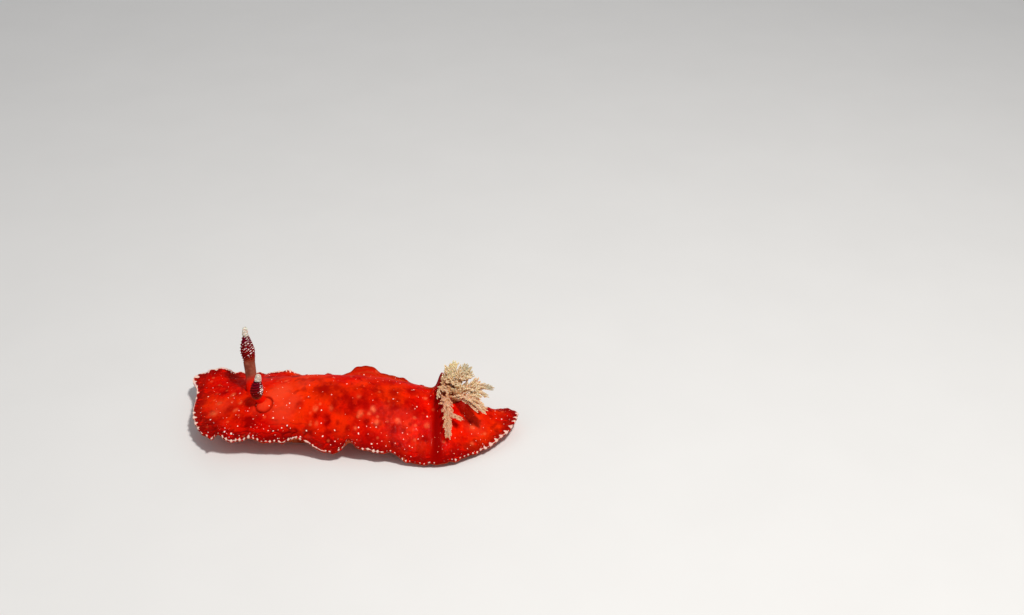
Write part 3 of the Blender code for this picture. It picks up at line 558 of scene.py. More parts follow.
def skin_sheet(tubercles):
    """The flat pattern of the skin: x is along, y is across and z is 0 above and -1 below."""
    bm = bmesh.new()
    bmesh.ops.create_grid(bm, x_segments=SKIN_ALONG, y_segments=SKIN_ACROSS, size=1)
    copied = bmesh.ops.duplicate(bm, geom=list(bm.faces))
    under_faces = [item for item in copied["geom"] if isinstance(item, bmesh.types.BMFace)]
    under_verts = [item for item in copied["geom"] if isinstance(item, bmesh.types.BMVert)]
    bmesh.ops.reverse_faces(bm, faces=under_faces)
    bmesh.ops.translate(bm, vec=(0, 0, -1), verts=under_verts)
    bmesh.ops.bridge_loops(bm, edges=[edge for edge in bm.edges if edge.is_boundary])
    rises = [edge for edge in bm.edges if abs(edge.verts[0].co.z - edge.verts[1].co.z) > 0.5]
    bmesh.ops.subdivide_edges(bm, edges=rises, cuts=2, use_grid_fill=True)
    upper = [
        edge for edge in bm.edges
        if edge.verts[0].co.z > -0.01 and edge.verts[1].co.z > -0.01
    ]
    bmesh.ops.subdivide_edges(bm, edges=upper, cuts=1, use_grid_fill=True)
    roots = [*RHINOPHORE_ROOTS.values(), GILL_CENTRE]
    refine(bm, roots, (0.0031, 0.0031, 0.0042))
    refine(bm, roots[:1], (0.0023,))
    refine(bm, [place[:2] for place in tubercles], [1.6 * place[2] for place in tubercles])
    bmesh.ops.triangulate(bm, faces=[face for face in bm.faces if len(face.verts) > 4])
    return mesh_of(bm, "skin")


def margin_line():
    """Points all along the margin, with the way out from each and the length passed."""
    turn = np.linspace(-1, 1, MARGIN_STEPS // 4, endpoint=False)
    ones = np.ones_like(turn)
    along = np.concatenate([turn, ones, -turn, -ones])
    across = np.concatenate([-ones, turn, ones, -turn])
    points = mantle_points(along, across)
    following = np.roll(points, -1, axis=0)
    # The length counts for less at both ends, where the beads are further apart
    steps = np.linalg.norm(following - points, axis=1)
    steps *= 1 - 0.42 * smooth_step(0.0225, 0.0255, points[:, 0])
    steps *= 1 - 0.50 * smooth_step(-0.0235, -0.0260, points[:, 0])
    passed = np.concatenate([[0.0], np.cumsum(steps)[:-1]])
    onward = np.roll(points, -8, axis=0) - np.roll(points, 8, axis=0)
    out = np.stack([onward[:, 1], -onward[:, 0]], axis=1)
    out /= np.linalg.norm(out, axis=1)[:, None]
    return points, out, passed


def measure_margin(points):
    """Each point's distance from the margin, the way out there and the place along it."""
    line, out, passed = margin_line()
    tree = KDTree(len(line))
    for i, point in enumerate(line):
        tree.insert((point[0], point[1], 0.0), i)
    tree.balance()
    found = [tree.find((x, y, 0.0)) for x, y, _ in points]
    nearest = np.array([hit[1] for hit in found])
    distance = np.array([hit[2] for hit in found])
    return distance, out[nearest], passed[nearest]


def far_middle(points):
    """1 along the plain ruffled margin of the far side's middle, 0 elsewhere."""
    x, y = points[:, 0], points[:, 1]
    behind_head = smooth_step(-0.007, -0.003, x)
    return smooth_step(0.004, 0.007, y) * behind_head * smooth_step(0.014, 0.009, x)


def near_head(points):
    """1 along the wrinkled margin of the near side of the head, 0 elsewhere."""
    x, y = points[:, 0], points[:, 1]
    return smooth_step(0.001, -0.004, y) * smooth_step(-0.004, -0.010, x)


def far_tail(points):
    """1 along the smooth far side of the tail, 0 elsewhere."""
    return smooth_step(0.016, 0.020, points[:, 0]) * smooth_step(-0.001, 0.003, points[:, 1])


def near_tail(points):
    """1 round the tail's end and along its near side, 0 elsewhere."""
    return smooth_step(0.019, 0.024, points[:, 0]) * (1 - far_tail(points))


def spots_share(points, spots, size=1.0):
    """How strongly each point lies in any of the round soft spots listed."""
    total = np.zeros(len(points))
    for x, y, radius, strength in spots:
        off = (points[:, 0] / MM - x) ** 2 + (points[:, 1] / MM - y) ** 2
        share = np.exp(-((off / (size * radius) ** 2) ** 1.6))
        total = np.maximum(total, strength * share)
    return total


def along_edge(passed):
    """The length passed along the margin, as points that the noise can read."""
    return np.stack([passed, np.zeros_like(passed), np.zeros_like(passed)], axis=1)


def edge_beads(points, passed):
    """How many beads of the margin lie before each point, and how large the one there is."""
    line = along_edge(passed)
    count = passed / BEAD_SPACING + 0.44 * noise_at(line, 0.0019, 21.0)
    size = np.clip(0.60 + 0.55 * noise_at(line, 0.0013, 28.0), 0.1, 1.0)
    return count, np.maximum(size, 0.75 * near_tail(points))


def edge_relief(points, to_margin, passed, bead_count, bead_size):
    """How far the frill and the beads lift the margin, and how far they push it out."""
    frill = noise_at(along_edge(passed), 0.0012, 3.0)
    beads = bead_size * (0.5 + 0.5 * np.cos(2 * math.pi * bead_count)) ** 1.5
    strength = 0.45 + 0.65 * near_head(points) + 0.35 * near_tail(points)
    strength *= 1 - 0.85 * far_middle(points)
    strength *= 1 - 0.6 * far_tail(points)
    strength *= np.exp(-((to_margin / EDGE_REACH) ** 2))
    lift = strength * (FRILL_RISE * frill + BEAD_RISE * beads)
    return lift, strength * (BEAD_RISE * beads - BEAD_SINK)


def near_creases(points, to_margin):
    """1 along the winding creases beside the near margin, 0 elsewhere; the skin sinks there and
    painted shade darkens the creases' bottoms.
    """
    near_side = smooth_step(0.001, -0.004, points[:, 1])
    zone = near_side * np.exp(-(((to_margin - CREASE_PLACE) / CREASE_SPREAD) ** 2))
    zone *= 0.2 + 0.8 * near_head(points)
    return zone * creases_at(points * np.array([0.45, 1.0, 0.6]), 0.0009, 31.0)


def far_ruffle(points, to_margin):
    """1 in the pleated ruffle of the far side, 0 elsewhere."""
    return far_middle(points) * smooth_step(PLEAT_END, PLEAT_START, to_margin)


def far_pleats(points, to_margin):
    """The winding pleats of the far ruffle, from -1 in their valleys to 1 on their crests."""
    swirl = to_margin + 0.0006 * noise_at(points * np.array([0.3, 1, 1]), 0.0016, 41.0)
    return far_ruffle(points, to_margin) * np.sin(2 * math.pi * swirl / PLEAT_SPACING)


def back_lumps(points):
    """The low lumps of the back."""
    fine = FINE_LUMP_RISE * noise_at(points, 0.0008, 13.0)
    return LUMP_RISE * noise_at(points, 0.0021, 5.0) + fine


def tubercle_bumps(places, tubercles):
    """The height of the tubercles at each place on the ground, and their white caps, which are
    partly painted glints.
    """
    dice = random.Random(5)
    bump, cap_and_glint = np.zeros(len(places)), np.zeros(len(places))
    for x, y, radius in tubercles:
        turn, length = dice.uniform(-0.7, 0.7), dice.uniform(1.0, 1.7)
        off_x, off_y = places[:, 0] - x, places[:, 1] - y
        along = (off_x * math.cos(turn) + off_y * math.sin(turn)) / (radius * length)
        aside = (off_y * math.cos(turn) - off_x * math.sin(turn)) / radius
        off = along**2 + aside**2
        close = off < 9
        bump[close] = np.maximum(bump[close], np.exp(-off[close]) * radius)
        cap_and_glint[close] = np.maximum(cap_and_glint[close], np.exp(-1.6 * off[close]))
    return bump, cap_and_glint


def margin_tint_width(places):
    """How far the crimson of the margin reaches in, in millimetres."""
    x, y = places[:, 0], places[:, 1]
    width = 2.7 - 1.9 * smooth_step(0.002, 0.007, y) * smooth_step(-0.024, -0.018, x)
    width -= 0.6 * smooth_step(0.004, 0.008, y) * np.exp(-(((x - 0.0015) / 0.006) ** 4))
    width += 0.6 * smooth_step(-0.020, -0.026, x)
    return width


def tooth_length(places):
    """How far the white teeth of the margin reach in, in millimetres, longest at the tail."""
    x, y = places[:, 0], places[:, 1]
    tail = smooth_step(0.021, 0.026, x) * (1 - 0.6 * smooth_step(-0.001, 0.003, y))
    far_side = smooth_step(0.002, 0.006, y)
    far_head = far_side * smooth_step(-0.013, -0.019, x)
    front = smooth_step(-0.024, -0.027, x)
    length = 0.24 + 0.60 * tail + 0.40 * near_head(places) + 0.22 * far_side + 0.40 * far_head
    return length + 0.10 * front - 1.0 * far_middle(places)


def white_rim(places):
    """How much more whole, or if below 0 more broken, the margin's white line is."""
    x, y = places[:, 0], places[:, 1]
    far_head = smooth_step(0.004, 0.008, y) * smooth_step(-0.006, -0.016, x)
    near_stretch = smooth_step(-0.002, -0.006, y) * np.exp(-(((x + 0.0095) / 0.0030) ** 4))
    near_rear = smooth_step(-0.003, -0.006, y) * np.exp(-(((x - 0.0140) / 0.0068) ** 4))
    return 0.30 * far_head + 0.26 * near_stretch - 0.24 * near_rear


def sheath_groove_shade(places):
    """1 in the ring groove round each rhinophore, falling to 0 beside it, where painted shade
    darkens the groove.
    """
    total = np.zeros(len(places))
    for side in RHINOPHORE_ROOTS:
        offset = places - np.array(sheath_place(side))
        axis = np.array(sheath_axis(side))
        flat = offset - np.outer(offset @ axis, axis)
        reach = np.linalg.norm(flat, axis=1)
        middle = SHEATH_GROOVES[side]
        total = np.maximum(total, np.exp(-(((reach - middle) / GROOVE_SPREAD) ** 2)))
    return total


def skin_marks(along, across, places, to_margin):
    """The numbers that the skin's colours follow, by name."""
    # Painted shade: the fold's slope that faces the head, and the gill pocket's lip under the
    # plumes, are marked here to be darkened
    fold_slope_shade = smooth_step(FOLD_START - 0.0010, FOLD_START + 0.0006, places[:, 0])
    fold_slope_shade = fold_slope_shade * smooth_step(FOLD_CREST + 0.0007, FOLD_CREST, places[:, 0])
    lip = np.clip(crest_height(along, across) / (0.5 * LIP_RISE) - 0.9, 0, 1)
    return {
        "tint_width": margin_tint_width(places),
        "pale": spots_share(places, PALE_SPOTS, PALE_SPOT_SIZE),
        "lit_glow": spots_share(places, LIT_GLOW_AREAS),
        "dark": spots_share(places, DARK_BLOTCHES),
        "fold": np.maximum(fold_slope_shade, 0.8 * lip),
        "groove": sheath_groove_shade(places),
        # More white specks and painted glints beside the head's near margin
        "glint_crowd": near_head(places) * np.exp(-(((to_margin - CREASE_PLACE) / 0.0016) ** 2)),
        "tooth": tooth_length(places),
        "rim": white_rim(places),
    }


# How far the margin's middle stands out past its upper and lower rims
EDGE_ROUNDING = 0.00014


def make_skin(material):
    """The mantle from above and below, its collars, its gill pocket and its margin in one skin."""
    tubercles = tubercle_places()
    mesh = skin_sheet(tubercles)
    pattern = coordinates(mesh)
    along, across, depth = crowded(pattern[:, 0]), crowded(pattern[:, 1]), -pattern[:, 2]
    upper = depth < 0.01
    places = mantle_points(along, across)
    to_margin, out, passed = measure_margin(places)
    bead_count, bead_size = edge_beads(places, passed)
    lift, push = edge_relief(places, to_margin, passed, bead_count, bead_size)
    shaded_crease, pleat = near_creases(places, to_margin), far_pleats(places, to_margin)
    bump, cap_and_glint = tubercle_bumps(places, tubercles)
    inner = back_lumps(places) - CREASE_DEPTH * shaded_crease + PLEAT_RISE * pleat
    points = places.copy()
    points[:, :2] += out * push[:, None]
    points[:, 2] += lift + inner * smooth_step(0.0, 0.0008, to_margin)
    points[:, 2] += TUBERCLE_RISE * bump * upper
    top = points[upper]
    for side in RHINOPHORE_ROOTS:
        shape_collar(top, sheath_place(side), sheath_axis(side), SHEATH_SHAPES[side])
    shape_collar(top, gill_base(), gill_axis(), POCKET_SHAPE)
    points[upper] = top
    points[:, 2] -= mantle_thickness(along, across) * depth
    rounded = (to_margin < 1e-6) * np.sin(math.pi * np.clip(depth, 0, 1)) * EDGE_ROUNDING
    points[:, :2] += out * rounded[:, None]
    move_to(mesh, points)
    under = depth > 0.9
    down_rim = 0.35 * np.clip(depth, 0, 1)
    in_from_edge = np.where(upper, to_margin / MM, down_rim) + 3.0 * (under & (to_margin > 0.0002))
    marks = skin_marks(along, across, places, to_margin) | {
        "to_margin": in_from_edge, "passed": passed / MM, "under": under, "fleck_and_glint": cap_and_glint,
        "bead_count": bead_count, "bead_size": bead_size, "shaded_crease": shaded_crease,
        "pleat": np.maximum(0.35 * far_ruffle(places, to_margin), pleat),
    }
    for name, values in marks.items():
        mark(mesh, name, values)
    nodes = ("mantle_front", "mantle_middle", "mantle_rear")
    place_piece(mesh, "mantle_skin", material, "mantle", *nodes)


# The foot, the flanks and the head

def flank_points(turn, height):
    """Points round the body: blunt and notched in front, tapered behind."""
    cosine, sine = np.cos(turn), np.sin(turn)
    along = -np.sign(cosine) * np.abs(cosine) ** np.where(cosine > 0, 0.6, 1.0)
    across = np.sign(sine) * np.abs(sine) ** 0.8
    taper = 1 - TAIL_TAPER * smooth_step(-0.2, 1.0, along)
    taper = taper * (1 - (1 - profile(HEAD_SHARE, height)) * smooth_step(0.4, 1.0, -along))
    half_length = (SOLE_BACK - SOLE_FRONT) / 2
    x = (SOLE_FRONT + SOLE_BACK) / 2 + along * half_length * profile(LENGTH_SHARE, height)
    low_down = smooth_step(FOOT_TOP, 0.8 * FOOT_TOP, height)
    notch = FRONT_NOTCH * np.exp(-((across / 0.15) ** 2)) * low_down
    x = x + np.where(along < 0, notch, 0.0)
    y = across * SOLE_HALF_WIDTH * profile(WIDTH_SHARE, height) * taper
    return np.stack([x - profile(HEAD_SLEW, 2 * x / BODY_LENGTH) * y, y, height], axis=-1)


def head_front(y):
    """Where the head's front face is, that far off the midline, at about the mouth's height."""
    turn = np.linspace(-math.pi / 2, math.pi / 2, 361)
    height = np.full_like(turn, HEAD_FRONT_HEIGHT)
    front = flank_points(turn, height)
    return float(np.interp(y, front[:, 1], front[:, 0]))


# The share of the body's rows that lie on the foot, and the heights of its wrinkles
FOOT_ROWS = 0.34
FLANK_WRINKLE = 0.00009
FLANK_GRAIN = 0.00005
FOOT_FRILL = 0.00012


def body_drum():
    """A closed upright drum of many rows, to be bent into the body."""
    bm = bmesh.new()
    bmesh.ops.create_cone(bm, cap_ends=True, segments=260, radius1=1, radius2=1, depth=1)
    uprights = [edge for edge in bm.edges if abs(edge.verts[0].co.z - edge.verts[1].co.z) > 0.5]
    bmesh.ops.subdivide_edges(bm, edges=uprights, cuts=43, use_grid_fill=False)
    return mesh_of(bm, "body")


def body_points(turn, share):
    """Points of the body, from the sole at share 0 up into the mantle at share 1."""
    height = FOOT_TOP * np.minimum(share / FOOT_ROWS, 1.0)
    points = flank_points(turn, height)
    above = np.clip((share - FOOT_ROWS) / (1 - FOOT_ROWS), 0, 1)
    for _ in range(3):
        along, across = place_over(points[:, 0], points[:, 1])
        roof = mantle_points(along, across)[:, 2] - 0.55 * mantle_thickness(along, across)
        roof = np.maximum(roof, FOOT_TOP + 0.0003)
        height = np.where(above > 0, FOOT_TOP + above * (roof - FOOT_TOP), height)
        points = flank_points(turn, height)
    return points


def body_wrinkles(points, share):
    """Small outward shifts: wrinkles and grain on the flanks, and a frill along the foot's edge."""
    stretched = points * np.array([1.0, 1.0, 0.35])
    wrinkle = FLANK_WRINKLE * noise_at(stretched, 0.0011, 2.0)
    relief = wrinkle + FLANK_GRAIN * noise_at(points, 0.0005, 8.0)
    frill = FOOT_FRILL * noise_at(points * np.array([1, 1, 0]), 0.0008, 17.0)
    foot_edge = np.exp(-(((points[:, 2] - 0.0006) / 0.0005) ** 2))
    amount = (relief + frill * foot_edge) * np.clip(share / 0.05, 0, 1)
    out = points * np.array([0.25, 1.0, 0.0])
    out /= np.maximum(np.linalg.norm(out, axis=1), 1e-9)[:, None]
    return out * amount[:, None]


def make_body(material):
    """Foot, flanks and head in one skin, from the flat sole up into the mantle."""
    mesh = body_drum()
    pattern = coordinates(mesh)
    turn = np.arctan2(pattern[:, 1], -pattern[:, 0])
    share = pattern[:, 2] + 0.5
    points = body_points(turn, share)
    points += body_wrinkles(points, share)
    mouth = Vector((head_front(0.0), 0.0, MOUTH_HEIGHT))
    in_mouth = shape_collar(points, mouth, Vector((-1, 0, 0)), MOUTH_SHAPE)
    points[:, 2] = np.maximum(points[:, 2], 0.0)
    move_to(mesh, points)
    mark(mesh, "height", points[:, 2] / MM)
    mark(mesh, "mouth", in_mouth)
    place_piece(mesh, "body_skin", material, "flank", "trunk", "head", "foot")


# Turned pieces: feelers, rhinophores and the papilla

def turned(outline, steps):
    """A closed turned mesh from (radius, height) points that start and end on the axis."""
    bm = bmesh.new()
    verts = [bm.verts.new((radius, 0.0, height)) for radius, height in outline]
    edges = [bm.edges.new(pair) for pair in zip(verts, verts[1:])]
    bmesh.ops.spin(
        bm, geom=verts + edges, cent=(0, 0, 0), axis=(0, 0, 1), angle=2 * math.pi,
        steps=steps, use_merge=True,
    )
    bmesh.ops.remove_doubles(bm, verts=bm.verts, dist=0.0000005)
    return bm


def stand_at(mesh, place, axis):
    """Puts a mesh that was made upright at a place, its own Z axis along the given one."""
    turn = axis.to_track_quat("Z", "Y").to_matrix().to_4x4()
    mesh.transform(Matrix.Translation(place) @ turn)


def make_tentacle(side, sign, material):
    """A blunt grooved feeler beside the mouth, its root sunk in the head."""
    length, radius = TENTACLE_LENGTH + TENTACLE_GAP, TENTACLE_RADIUS
    heights = np.linspace(-TENTACLE_ROOT, length, 46)
    swell = profile(TENTACLE_SWELL, np.clip(heights / length, 0, 1))
    outline = [(0.0, -TENTACLE_ROOT)]
    outline += [(radius * share, height) for share, height in zip(swell[:-1], heights[:-1])]
    outline.append((0.0, length))
    mesh = mesh_of(turned(outline, 40), "feeler")
    points = coordinates(mesh)
    turn = np.arctan2(points[:, 1], points[:, 0])
    along = np.clip(points[:, 2] / length, 0, 1)
    groove = 1 - 0.22 * np.exp(-((turn / 0.45) ** 2)) * smooth_step(0.1, 0.5, along)
    ripple = 1 + 0.05 * noise_at(points, 0.0004, 4.0)
    points[:, :2] *= (groove * ripple)[:, None]
    points[:, 1] += sign * TENTACLE_BEND * along**2
    move_to(mesh, points)
    mark(mesh, "height", np.full(len(points), MOUTH_HEIGHT / MM))
    mark(mesh, "mouth", np.zeros(len(points)))
    y = sign * TENTACLE_SPREAD
    slope = (head_front(y + radius) - head_front(y - radius)) / (2 * radius)
    axis = Vector((-1.0, slope, 0.0)).normalized()
    stand_at(mesh, Vector((head_front(y), y, MOUTH_HEIGHT)), axis)
    name = "oral_tentacle_" + side
    place_piece(mesh, name + "_skin", material, "flank", name)


LAMELLAE = {"left": 8, "right": 10}
# Where the stalk's colour goes from the skin's own to brown, in club lengths from the club
STALK_TINT = {"left": (-0.08, 0.02), "right": (-0.85, -0.45)}
LAMELLA_DEPTH = 0.00030
LAMELLA_SLANT = 0.35
LAMELLA_BEADING = 0.00009
CLUB_SWELL = (
    (0.0, 0.78), (0.12, 0.88), (0.25, 0.95), (0.42, 1.0), (0.62, 0.89), (0.82, 0.68),
    (1.0, 0.50),
)
STALK_SWELL = ((0.0, 1.05), (0.25, 1.06), (0.5, 1.0), (0.8, 1.0), (1.0, 1.02))
KNOB_SWELL = ((0, 1.25), (0.25, 1.10), (0.6, 0.94), (0.85, 0.74), (1.0, 0.0))


def line_length(line):
    return float(np.linalg.norm(np.diff(np.array(line), axis=0), axis=1).sum()) * MM


def rhinophore_outline(side, length):
    """(radius, height) points up the stalk, the club and the knob."""
    club_start, club_end = length - CLUB_REACH[side], length - KNOB_LENGTH[side]
    stalk = np.linspace(0, club_start, 40, endpoint=False)
    club = np.linspace(club_start, club_end, LAMELLAE[side] * 13, endpoint=False)
    knob = np.linspace(club_end, length, 24)
    parts = (
        (stalk, STALK_RADII[side], STALK_SWELL), (club, CLUB_RADII[side], CLUB_SWELL),
        (knob, KNOB_RADII[side], KNOB_SWELL),
    )
    outline = [(0.0, 0.0)]
    for heights, radius, swell in parts:
        share = (heights - heights[0]) / (heights[-1] - heights[0])
        outline += list(zip(radius * profile(swell, share), heights))
    outline[-1] = (0.0, length)
    return outline


def bend_along(points, line):
    """Points made upright, carried onto a midline with no twist."""
    knots = np.array(line) * MM
    passed = np.concatenate([[0.0], np.cumsum(np.linalg.norm(np.diff(knots, axis=0), axis=1))])
    step = 0.0001

    def midline(heights):
        return np.stack([profile(np.stack([passed, axis], 1), heights) for axis in knots.T], 1)

    heights = np.clip(points[:, 2], 0, passed[-1])
    low = np.maximum(heights - step, 0)
    high = np.minimum(heights + step, passed[-1])
    onward = midline(high) - midline(low)
    onward /= np.linalg.norm(onward, axis=1)[:, None]
    tailward = np.array([1.0, 0.0, 0.0]) - onward[:, :1] * onward
    tailward /= np.linalg.norm(tailward, axis=1)[:, None]
    rightward = np.cross(onward, tailward)
    return midline(heights) + tailward * points[:, :1] + rightward * points[:, 1:2]


def make_rhinophore(side, material):
    """A smooth stalk, a club of slanting leaves that part at the front, and a blunt white knob."""
    length = line_length(RHINOPHORE_LINES[side])
    mesh = mesh_of(turned(rhinophore_outline(side, length), 96), "rhinophore")
    points = coordinates(mesh)
    height = points[:, 2].copy()
    turn = np.arctan2(points[:, 1], -points[:, 0])
    club_start, club_end = length - CLUB_REACH[side], length - KNOB_LENGTH[side]
    share = (height - club_start) / (club_end - club_start)
    in_club = smooth_step(-0.04, 0.06, share) * smooth_step(1.04, 0.94, share)
    reach = np.hypot(points[:, 0], points[:, 1])
    pitch = (club_end - club_start) / LAMELLAE[side]
    slant = LAMELLA_SLANT * (points[:, 0] - 0.5 * np.abs(points[:, 1])) * in_club
    phase = (height - slant) / pitch + 0.16 * noise_at(points, 0.0006, 6.0)
    valley = 1 - (1 - np.abs(np.sin(math.pi * phase))) ** 1.6
    front = np.exp(-((turn / 0.20) ** 2))
    rear = np.exp(-(((np.abs(turn) - math.pi) / 0.14) ** 2))
    leaf = (1 - valley) * (1 - rear) * (1 - front)
    cut_in = valley * (1 - 0.75 * rear) * (1 - front) + 1.15 * front
    beading = (1 - valley) * (0.5 + noise_at(points, 0.00020, 16.0))
    depth = in_club * (LAMELLA_DEPTH * cut_in + LAMELLA_BEADING * beading)
    shrink = np.clip(1 - depth / np.maximum(reach, 1e-9), 0.2, 1.0)
    ripple = 1 + 0.03 * noise_at(points * np.array([1, 1, 0.4]), 0.0007, 12.0) * (1 - in_club)
    points[:, :2] *= (shrink * ripple)[:, None]
    move_to(mesh, bend_along(points, RHINOPHORE_LINES[side]))
    brown_start, brown_end = STALK_TINT[side]
    mark(mesh, "share", share)
    mark(mesh, "rooted", smooth_step(brown_end, brown_start, share))
    mark(mesh, "leaf", leaf * in_club)
    # The club's lit side, where the white specks crowd as painted highlights
    mark(mesh, "lit_side", 0.5 + 0.5 * np.cos(turn - LIT_SPECK_SIDES[side]))
    name = "rhinophore_" + side
    place_piece(mesh, name + "_leaves", material, "rhinophore", name)


def make_papilla(material):
    """The short tube in the middle of the gill, with a puckered opening."""
    radius, top = PAPILLA_RADIUS, PAPILLA_HEIGHT
    outline = (
        (0.0, -0.0005), (1.25 * radius, -0.0005), (1.15 * radius, 0.0), (0.98 * radius, 0.0004),
        (0.88 * radius, 0.0008), (0.80 * radius, 0.0012), (0.80 * radius, top - 0.0002),
        (0.66 * radius, top - 0.00003), (0.50 * radius, top), (0.34 * radius, top - 0.0001),
        (0.24 * radius, top - 0.0004), (0.0, top - 0.0006),
    )
    mesh = mesh_of(turned(outline, 32), "papilla")
    points = coordinates(mesh)
    turn = np.arctan2(points[:, 1], points[:, 0])
    pucker = 1 + 0.09 * np.cos(8 * turn) * smooth_step(0.0006, top, points[:, 2])
    points[:, :2] *= pucker[:, None]
    move_to(mesh, points)
    mark(mesh, "tip", np.full(len(points), 0.4))
    for name in ("grey", "yellow", "flushed"):
        mark(mesh, name, np.zeros(len(points)))
    base, _ = pocket_floor(0.0, 0.0)
    stand_at(mesh, base, gill_axis())
    place_piece(mesh, "anal_papilla_skin", material, "gill", "anal_papilla")


# The gill

PLUME_POINTS = 26
BRANCH_POINTS = 16
SPRAY_POINTS = 7
# How many points of each plume, and of each branch, are left to the fingers of its tip
TIP_LEADS = (1, 3, 3, 5, 4, 0)
BRANCH_LEAD = 3
SPRAY_SPACING = 0.00068
FINGER_SPACING = 0.00027
FINGER_RADIUS = 0.31
FINGER_KINDS = 6
TIP_FINGER = 0.00036
RACHIS_RADIUS = 0.00042
RACHIS_TIP_RADIUS = 0.00016
ROOT_SINK = 0.0004
SPRAY_CLEARANCE = 0.00045
# For each plume: its blade's half-width, how grey and yellow its tip is, how flushed it all is
PLUME_BLADES = (
    (0.00120, 0.0, 0.0, 0.45), (0.00170, 0.0, 0.0, 0.20), (0.00155, 0.7, 0.1, 0.0),
    (0.00180, 0.6, 0.3, 0.0), (0.00165, 0.0, 0.9, 0.0), (0.00040, 0.0, 0.0, 0.0),
)
SHORT_PLUME = 6
BRANCH_HALF_WIDTH = 0.0008
LIMB_HALF_WIDTH = 0.0014
# Where along a blade its sprays start, and the same for the short plume
FIRST_SPRAY = 0.12
SHORT_PLUME_FIRST_SPRAY = 0.62
# Inner limbs that fill the gill's middle, as (plume, place along it, tip)
INNER_LIMBS = (
    (1, 0.25, (0.0169, -0.0036, 0.0084)),
    (2, 0.35, (0.0226, -0.0052, 0.0074)), (2, 0.25, (0.0213, -0.0034, 0.0086)),
    (2, 0.40, (0.0230, -0.0043, 0.0078)), (2, 0.30, (0.0225, -0.0040, 0.0086)),
    (2, 0.12, (0.0190, -0.0030, 0.0096)), (2, 0.20, (0.0192, -0.0034, 0.0084)),
    (3, 0.40, (0.0226, 0.0000, 0.0096)), (3, 0.35, (0.0228, -0.0034, 0.0090)),
    (3, 0.30, (0.0224, -0.0024, 0.0096)), (3, 0.20, (0.0203, -0.0022, 0.0094)),
    (3, 0.12, (0.0196, -0.0024, 0.0100)),
    (4, 0.50, (0.0212, 0.0010, 0.0103)), (4, 0.40, (0.0206, -0.0004, 0.0106)),
    (4, 0.30, (0.0212, 0.0022, 0.0096)), (4, 0.25, (0.0188, -0.0012, 0.0098)),
    (5, 0.45, (0.0171, 0.0016, 0.0110)), (5, 0.30, (0.0176, -0.0006, 0.0100)),
    (5, 0.20, (0.0170, -0.0022, 0.0092)),
)
BLADE_SHAPE = ((0.0, 0.0), (0.16, 0.55), (0.36, 0.95), (0.6, 1.0), (0.85, 0.82), (1.0, 0.50))


def pocket_floor(bearing, radius):
    """A place on the pocket's floor, and the way out from its middle."""
    axis = gill_axis()
    turn = math.radians(bearing)
    out = Vector((math.cos(turn), math.sin(turn), 0))
    out = (out - axis * out.dot(axis)).normalized()
    return gill_base() - axis * POCKET_DEPTH + out * radius, out


def lift_clear(points, clearance):
    """Raises points that would come too near the back or the pocket's rim under them."""
    if not points:
        return
    places = np.array(points)
    ground = back_heights(places)
    off = places[:, :2] - np.array(GILL_CENTRE)
    on_rim = np.hypot(off[:, 0], off[:, 1]) < POCKET_RADIUS + POCKET_WALL
    axis = gill_axis()
    rim = gill_base().z + (POCKET_RIM - off[:, 0] * axis.x - off[:, 1] * axis.y) / axis.z
    ground = np.where(on_rim, np.maximum(ground, rim), ground)
    for point, low in zip(points, ground):
        point.z = max(point.z, low + clearance)


def plume_path(bearing, tip):
    """A plume's midline, up from the pocket's floor, over its rim and out to the tip."""
    root, out = pocket_floor(bearing, ROOT_RING)
    tip = Vector(tip)
    first = root + gill_axis() * PLUME_RISE
    second = tip + (root - tip) * 0.35 + Vector((0, 0, PLUME_ARCH))
    path = interpolate_bezier(root, first, second, tip, PLUME_POINTS)
    outside = [point for point in path if (point - root).dot(out) > POCKET_RADIUS - ROOT_RING]
    lift_clear(outside, PLUME_CLEARANCE)
    return path


def branch_path(path, share, tip):
    start = path[round(share * (len(path) - 1))]
    onward = (path[-1] - start) * 0.3
    return interpolate_bezier(start, start + onward, start.lerp(tip, 0.7), tip, BRANCH_POINTS)


def append(bm, mesh, matrix):
    """Adds a moved copy of a mesh to a bmesh."""
    copy = mesh.copy()
    copy.transform(matrix)
    bm.from_mesh(copy)
    bpy.data.meshes.remove(copy)


def finger(seed):
    """A stubby finger 1 long along +X from the origin, thicker towards its rounded tip."""
    dice = random.Random(seed)
    bm = bmesh.new()
    bmesh.ops.create_uvsphere(bm, u_segments=6, v_segments=5, radius=1)
    bmesh.ops.rotate(bm, matrix=Matrix.Rotation(math.pi / 2, 3, "Y"), verts=bm.verts)
    bmesh.ops.scale(bm, vec=(0.5, FINGER_RADIUS, FINGER_RADIUS), verts=bm.verts)
    bmesh.ops.translate(bm, vec=(0.5, 0, 0), verts=bm.verts)
    mesh = mesh_from(bm, "finger")
    points = coordinates(mesh)
    mark(mesh, "tip", np.clip(points[:, 0], 0, 1))
    points[:, 1:] *= (0.72 + 0.42 * points[:, :1]) * dice.uniform(0.85, 1.15)
    points[:, 2] += dice.uniform(0.05, 0.22) * points[:, 0] ** 2
    points[:, 1] += dice.uniform(-0.12, 0.12) * points[:, 0] ** 2
    move_to(mesh, points)
    return mesh


def along_path(path, spacing, offset):
    """Each place a spacing apart along a path, with the way on and the share of its length."""
    total = sum((b - a).length for a, b in zip(path, path[1:]))
    passed, wanted = 0.0, offset
    for start, end in zip(path, path[1:]):
        step = (end - start).length
        while wanted <= passed + step:
            yield start.lerp(end, (wanted - passed) / step), (end - start) / step, wanted / total
            wanted += spacing
        passed += step


